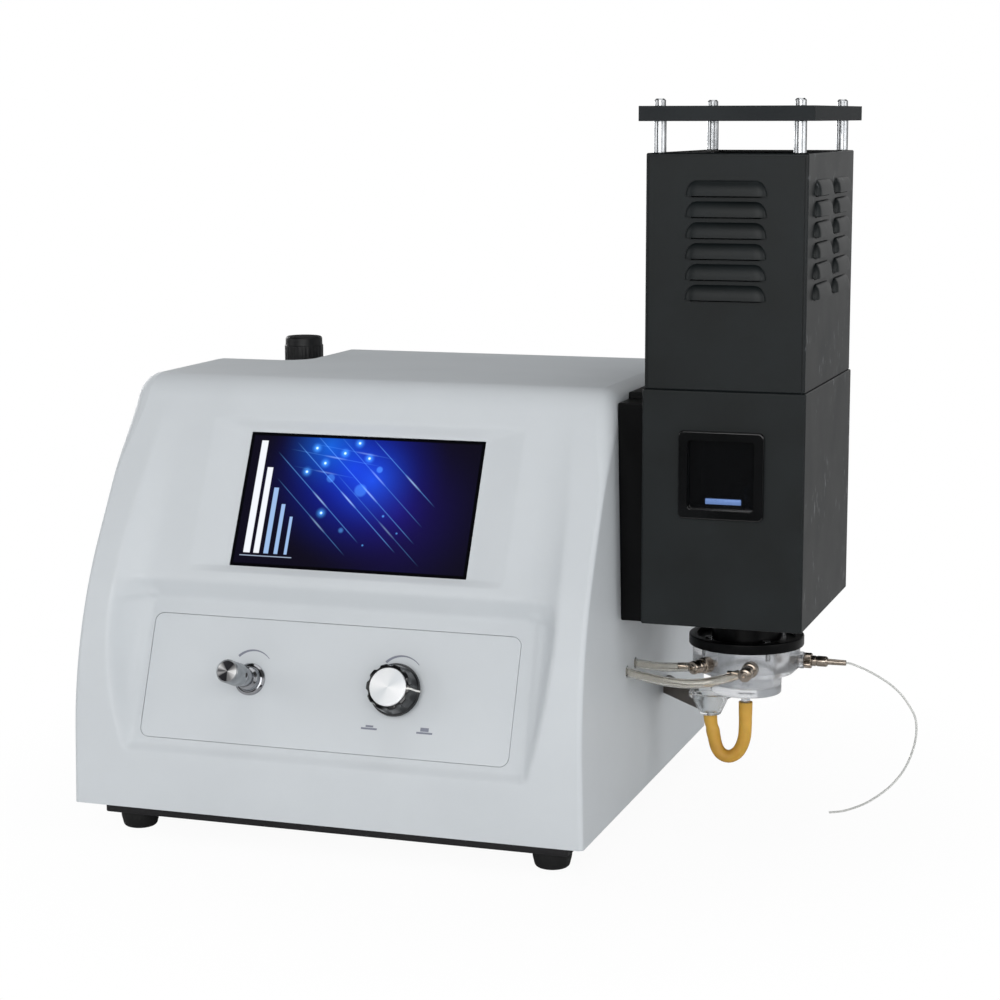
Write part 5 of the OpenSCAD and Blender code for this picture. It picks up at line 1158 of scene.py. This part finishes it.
# The front sheet is set between the folded side sheets: a fine seam shows round it
SEAM_IN, SEAM = 1.6, 0.7
x0, x1, z1 = CHIMNEY[0] + SEAM_IN, CHIMNEY[1] - SEAM_IN, CHIMNEY[5] - SEAM_IN
for a, b, c in ((x0, x0 + SEAM, CHIMNEY[4]), (x1 - SEAM, x1, CHIMNEY[4]), (x0, x1, z1 - SEAM)):
    cut(chimney, block(a, b, CHIMNEY[2] - 1, CHIMNEY[2] + 0.5, c - 0.01, z1), SOURCE)
settle(chimney)
piece("louvre_hoods", *on_columns(hood()), SOURCE, "tower_black", sharp=60)
soften(0.8, "chimney_cap", segments=3)
soften(0.35, "cap_spacers", "cap_screws")

# %% [markdown]
# The viewing window has a glossy moulded frame with a rounded lip, over dark glass.
# Behind it a dark clip holds the glass, and its edge, painted light as a pale blue strip
# # that glows by itself, is all that one sees through it.

# %% Viewing window and the clip of its glass
x0, x1, z0, z1 = WINDOW
box_front = at(0, BOX[2], 0, turned("X", 90))
window_frame = piece("window_frame_moulded",
                     *prism(plate_outline(x0, z0, x1, z1, 3.5, 8), 0, 3.0, 1.1, 4), box_front,
                     "gloss_black", stands_for=["window_frame"], sharp=40)
cut(window_frame, prism(plate_outline(x0 + 6, z0 + 6, x1 - 6, z1 - 6, 2.0, 6), -2, 6), box_front)
settle(window_frame)
soften(0.3, "window_glass")
clip_y = BOX[2] + SHEET + 1.6
piece("glass_clip", *block(394.5, 428.8, clip_y, clip_y + 3, 215.5, 223.6, 0.5), SOURCE, None,
      finish_name="flange_black")
# The clip's edge is painted light: a pale blue strip that glows with no lamp
piece("glass_clip_painted_glow", *block(404.7, 427.5, clip_y - 0.1, clip_y + 2.4, 223.7, 227.2, 0.4),
      SOURCE, None, finish_name="painted_glow_edge")

# %% [markdown]
# Below the box hang the flange, a clear mixing chamber and its narrower base. The
# chamber is turned acrylic: clear, with soft edges and a bore that shows through.

# %% Burner flange and mixing chamber
lathe("burner_flange_turned", [(8.05, 0), (38, 0, 0.8), (38, 6.8, 0.8), (33, 6.8, 0.3),
                               (33, 3.9, 0.5), (23, 3.9, 0.6), (23, 25.75, 0.3), (8.05, 25.75)],
      at(BURNER_X, TOWER_Y, 119), "flange_black", 128, stands_for=["burner_flange"], sharp=40)
lathe("mixing_chamber_turned", [(19, 0), (31.6, 0, 0.4), (35.5, 3.9, 0.6), (35.5, 17.95, 0.4),
                                (19, 17.95)],
      at(BURNER_X, TOWER_Y, 101), "acrylic", 128, stands_for=["mixing_chamber"], sharp=40)
lathe("chamber_base_turned", [(0, 5), (19, 5, 0.8), (19, 14.35), (23.5, 14.35, 0.4), (23.5, 0, 0.8),
                              (5, 0, 1.0), (2.9, -0.5, 0.4), (2.9, -13.6, 0.3), (0, -13.6)],
      at(BURNER_X, TOWER_Y, 86.6), "acrylic", stands_for=["chamber_base"], sharp=40)

# %% [markdown]
# Both hose fittings are nickel-plated brass: a knurled collar against the chamber, a
# neck, and a round eye from which the hose leaves sideways. Knurling is a wave of 36
# teeth on the collar's radius.

# %% Hose fittings, hoses and nebulizer
PORTS = [(0.0, 240, 35.4, 5.5), (11.0, 270, 34.9, 10.0)]     # Shift, angle, wall, eye's reach
PORT_Z, COLLAR_L, GAP = 110.0, 7, 0.3


def knurl(teeth, depth, low, high):
    def radius(r, z, a):
        return r - depth * (0.5 + 0.5 * math.cos(a * teeth)) if low < z < high and r > 4 else r
    return radius


def eye_at(port):
    shift, angle, wall, reach = port
    far = wall + GAP + COLLAR_L + reach
    return Vector((BURNER_X + shift + far * math.cos(math.radians(angle)),
                   TOWER_Y + far * math.sin(math.radians(angle)), PORT_Z))


def fitting(port):
    """Collar and neck in the chamber's wall, the eye, and the spigot in its hose."""
    shift, angle, wall, reach = port
    outward = (Matrix.Translation((BURNER_X + shift, TOWER_Y, PORT_Z))
               @ turned("Z", angle).to_4x4() @ ALONG_X.to_4x4()
               @ Matrix.Translation((0, 0, wall + GAP)))
    collar = rounded([(0, -8), (2.45, -8), (2.45, 0), (4.9, 0, 0.5), (5.3, 0.9, 0.3),
                      (5.3, 6.1, 0.3), (4.6, 7, 0.5), (3.5, 7.2, 0.4), (3.5, COLLAR_L + reach),
                      (0, COLLAR_L + reach)])
    eye = rounded([(0, -4.6), (4.4, -4.6, 0.7), (4.4, -1.6, 0.3), (3.9, -1.2, 0.2), (3.9, 1.2, 0.2),
                   (4.4, 1.6, 0.3), (4.4, 3.6, 0.9), (2.5, 3.9, 0.2), (2.5, 5.0, 0.6),
                   (1.1, 5.0, 0.2), (1.1, 3.6), (0, 3.6)])
    spigot = [(0, 0), (1.75, 0), (1.75, 12), (0, 12)]
    return joined(
        moved(revolve(collar, 144, knurl(36, 0.45, 0.8, 6.3)), outward),
        moved(revolve(eye, 48), outward @ Matrix.Translation((0, 0, COLLAR_L + reach))),
        moved(revolve(spigot, 24), Matrix.Translation(eye_at(port)) @ turned("Y", -90).to_4x4()))


piece("port_fittings", *joined(*[fitting(p) for p in PORTS]), SOURCE, "nickel",
      stands_for=["hose_fittings"], sharp=45)


def bezier(a, b, c, d, t):
    return a * (1 - t) ** 3 + 3 * b * (1 - t) ** 2 * t + 3 * c * (1 - t) * t * t + d * t ** 3


# Hoses: the way each leaves its fitting, and how it sags before the wall
for name, port, hole, droop, sag in (
        ("air_hose", PORTS[0], HOSE_HOLES[0], (-1, 0, -0.1), (0, 0, -2)),
        ("gas_hose", PORTS[1], HOSE_HOLES[1], (-1, -0.05, -0.42), (0, -5, -6))):
    start, end = eye_at(port) - Vector((4.0, 0, 0)), Vector((W - 3.5, *hole))
    run = start.x - end.x
    leaving = start + Vector(droop) * run * 0.35
    coming = end + Vector((run * 0.45, 0, 0)) + Vector(sag)
    route = [bezier(start, leaving, coming, end, t) for t in np.linspace(0, 1, 30)]
    piece(name + "_vinyl", *sweep(route + [end - Vector((6, 0, 0))], 3.1, 28, 2.0), SOURCE,
          "clear_hose", stands_for=[name], sharp=50)

neb_place = at(451.5, TOWER_Y, PORT_Z, ALONG_X)
lathe("neb_washer", [(2.55, 0), (5.5, 0, 0.5), (5.5, 3.45, 0.5), (2.55, 3.45)], neb_place,
      "white_plastic", 48, 3, stands_for=["nebulizer_seal"], finish_name="acrylic")
lathe("neb_nut_knurled", [(2.55, 3.5), (4.7, 3.5, 0.3), (5.1, 4.0, 0.2), (5.1, 8.0, 0.2),
                          (4.7, 8.5, 0.3), (2.55, 8.5)],
      neb_place, "nickel", 120, 2, knurl(30, 0.4, 3.9, 8.1), stands_for=["nebulizer_nut"],
      sharp=45)
lathe("nebulizer_turned", [(0.4, -12), (2.5, -12), (2.5, 8.5), (3.5, 8.5, 0.3), (3.5, 11.0, 0.2),
                           (3.2, 11.3, 0.1), (3.2, 12.0, 0.1), (3.5, 12.3, 0.2), (3.5, 18.0, 0.4),
                           (2.8, 19.0, 0.3), (2.0, 19.0, 0.3), (1.8, 31.1, 0.2), (0.4, 31.1)],
      neb_place, "nickel", 48, 3, stands_for=["nebulizer"], sharp=45)

# %% [markdown]
# The drain loop is latex: soft amber rubber tube, pushed over the chamber's spigot
# and the cup's. It swells a little where a spigot is inside, and no leg hangs quite
# straight. The cup is a clear moulded funnel with a lip.

# %% Drain loop and cup
LOOP = [(416, 78.8), (416, 70), (416, 62), (415.5, 54.5), (413.4, 47.6), (409.8, 42.6),
        (404.8, 40.4), (399.8, 42), (396.6, 46.6), (394.9, 53), (393.6, 59), (392.4, 64), (392, 69)]


def latex_radius(t):
    near_top = max(0, 1 - t / 0.1) ** 0.5
    near_cup = max(0, 1 - (1 - t) / 0.09) ** 0.5
    crease = math.exp(-((t - 0.8) / 0.035) ** 2) - math.exp(-((t - 0.86) / 0.025) ** 2)
    return 1 + 0.05 * max(near_top, near_cup) - 0.015 * math.sin(math.pi * t) + 0.06 * crease


legs = smooth_route([(x, TOWER_Y, z) for x, z in LOOP], 5)
piece("drain_loop", *sweep(legs, 4.4, 32, 2.95, latex_radius), SOURCE, "latex",
      stands_for=["drain_tube"], sharp=50)
lathe("drain_funnel", [(1.6, -8), (2.85, -8, 0.3), (2.9, -0.2, 0.3), (7.0, 0, 0.8), (12.5, 12, 0.5),
                       (14.5, 12.1, 0.5), (14.5, 15, 0.6), (11.2, 15, 0.5), (5.5, 1.7, 0.8),
                       (1.6, 1.6)],
      at(392, TOWER_Y, 69), "clear_plastic", 80, stands_for=["drain_cup"], sharp=40)
soften(0.4, "drain_arm")

# %% [markdown]
# The studio is plain: a white room and pale floor. A photographer's room isn't white
# all round, though. Between its soft boxes and past the table it is dim, and that is
# what gives chrome its dark lines and keeps black paint black. So rays that left a
# glossy surface meet boxes with gaps between, and a floor that dims with distance.

# %% Studio and the last lines
BOXES, BOX_TURN = 6, -2.3      # Soft boxes round the room, and their turn in radians
LAMPS = [("key", (0.65, -2.6, 0.95), (0, 0, 0.2), (2.4, 1.5), 36),       # Place, aim, size, watts
         ("left", (-2.1, -1.4, 0.8), (0, 0, 0.2), (1.4, 1.4), 8),
         ("right", (2.3, -0.5, 0.7), (0.1, 0, 0.25), (1.4, 1.4), 12.5),
         ("back", (-2.2, 1.8, 0.9), (0, 0, 0.2), (1.6, 1.2), 22),
         ("top", (0.2, 0.1, 2.3), (0, 0, 0.2), (1.6, 1.6), 11)]


def room():
    world = bpy.data.worlds.new("room")
    bpy.context.scene.world = world
    world.use_nodes = True
    tree = world.node_tree
    path = add_node(tree, "ShaderNodeLightPath").outputs
    way = add_node(tree, "ShaderNodeTexCoord").outputs["Generated"]
    x, y, z = add_node(tree, "ShaderNodeSeparateXYZ", links={0: way}).outputs
    angle = maths(tree, "MULTIPLY_ADD", maths(tree, "ARCTAN2", y, x), BOXES, BOX_TURN)
    boxes = spread(tree, maths(tree, "COSINE", angle), 0.0, 0.5, 0.05, 0.9)
    boxes = maths(tree, "MULTIPLY", boxes, spread(tree, z, 0.42, 0.55, 1, 0.15))
    plain = spread(tree, z, 0.0, 0.6, 0.4, 0.28)
    lit = mixed(tree, path["Is Glossy Ray"], plain, boxes)
    direct = maths(tree, "MAXIMUM", path["Is Camera Ray"], path["Is Transmission Ray"])
    tree.links.new(mixed(tree, direct, lit, "#FFFFFF"), tree.nodes["Background"].inputs[0])


def table():
    """Pale floor. The camera sees it fade to white, and mirrors see it dim."""
    tree, shader = finish("floor", "#F4F4F4", Roughness=0.9)

    def blend(amount, first, second):
        return add_node(tree, "ShaderNodeMixShader",
                        links={0: amount, 1: first, 2: second}).outputs[0]

    path = add_node(tree, "ShaderNodeLightPath").outputs
    place = add_node(tree, "ShaderNodeTexCoord").outputs["Object"]
    away = add_node(tree, "ShaderNodeVectorMath", {"operation": "LENGTH"},
                    {0: place}).outputs["Value"]
    ahead = add_node(tree, "ShaderNodeSeparateXYZ", links={0: place}).outputs[1]
    dim = add_node(tree, "ShaderNodeEmission", {"Color": (1, 1, 1, 1)},
                   {"Strength": spread(tree, ahead, -0.5, 0.5, 0.04, 0.5)})
    past = maths(tree, "MULTIPLY", spread(tree, away, 0.45, 0.9, 0, 1), path["Is Glossy Ray"])
    mirrored = blend(past, shader.outputs[0], dim.outputs[0])
    glow = add_node(tree, "ShaderNodeEmission", {"Color": (1, 1, 1, 1), "Strength": 1.0})
    far = add_node(tree, "ShaderNodeMapRange", {
        "interpolation_type": "SMOOTHSTEP", 1: 0.2, 2: 0.45, 3: 0.95, 4: 1.0}, {0: away}).outputs[0]
    faded = maths(tree, "MULTIPLY", far, path["Is Camera Ray"])
    seen = blend(faded, mirrored, glow.outputs[0])
    tree.links.new(seen, tree.nodes["Material Output"].inputs[0])
    mesh = bpy.data.meshes.new("floor")
    mesh.from_pydata([(-6, -6, 0), (6, -6, 0), (6, 6, 0), (-6, 6, 0)], [], [(0, 1, 2, 3)])
    mesh.materials.append(FINISHES["floor"])
    ground = bpy.data.objects.new("floor", mesh)
    ground.location.z = -0.0005
    bpy.context.scene.collection.objects.link(ground)


room()
table()
for name, place, aim, size, power in LAMPS:
    light = bpy.data.lights.new(name, "AREA")
    light.shape = "RECTANGLE"
    light.size, light.size_y = size
    light.energy = power
    lamp = bpy.data.objects.new(name, light)
    lamp.location = place
    lamp.rotation_euler = (Vector(aim) - Vector(place)).to_track_quat("-Z", "Y").to_euler()
    bpy.context.scene.collection.objects.link(lamp)
bpy.context.scene.view_settings.view_transform = "Standard"
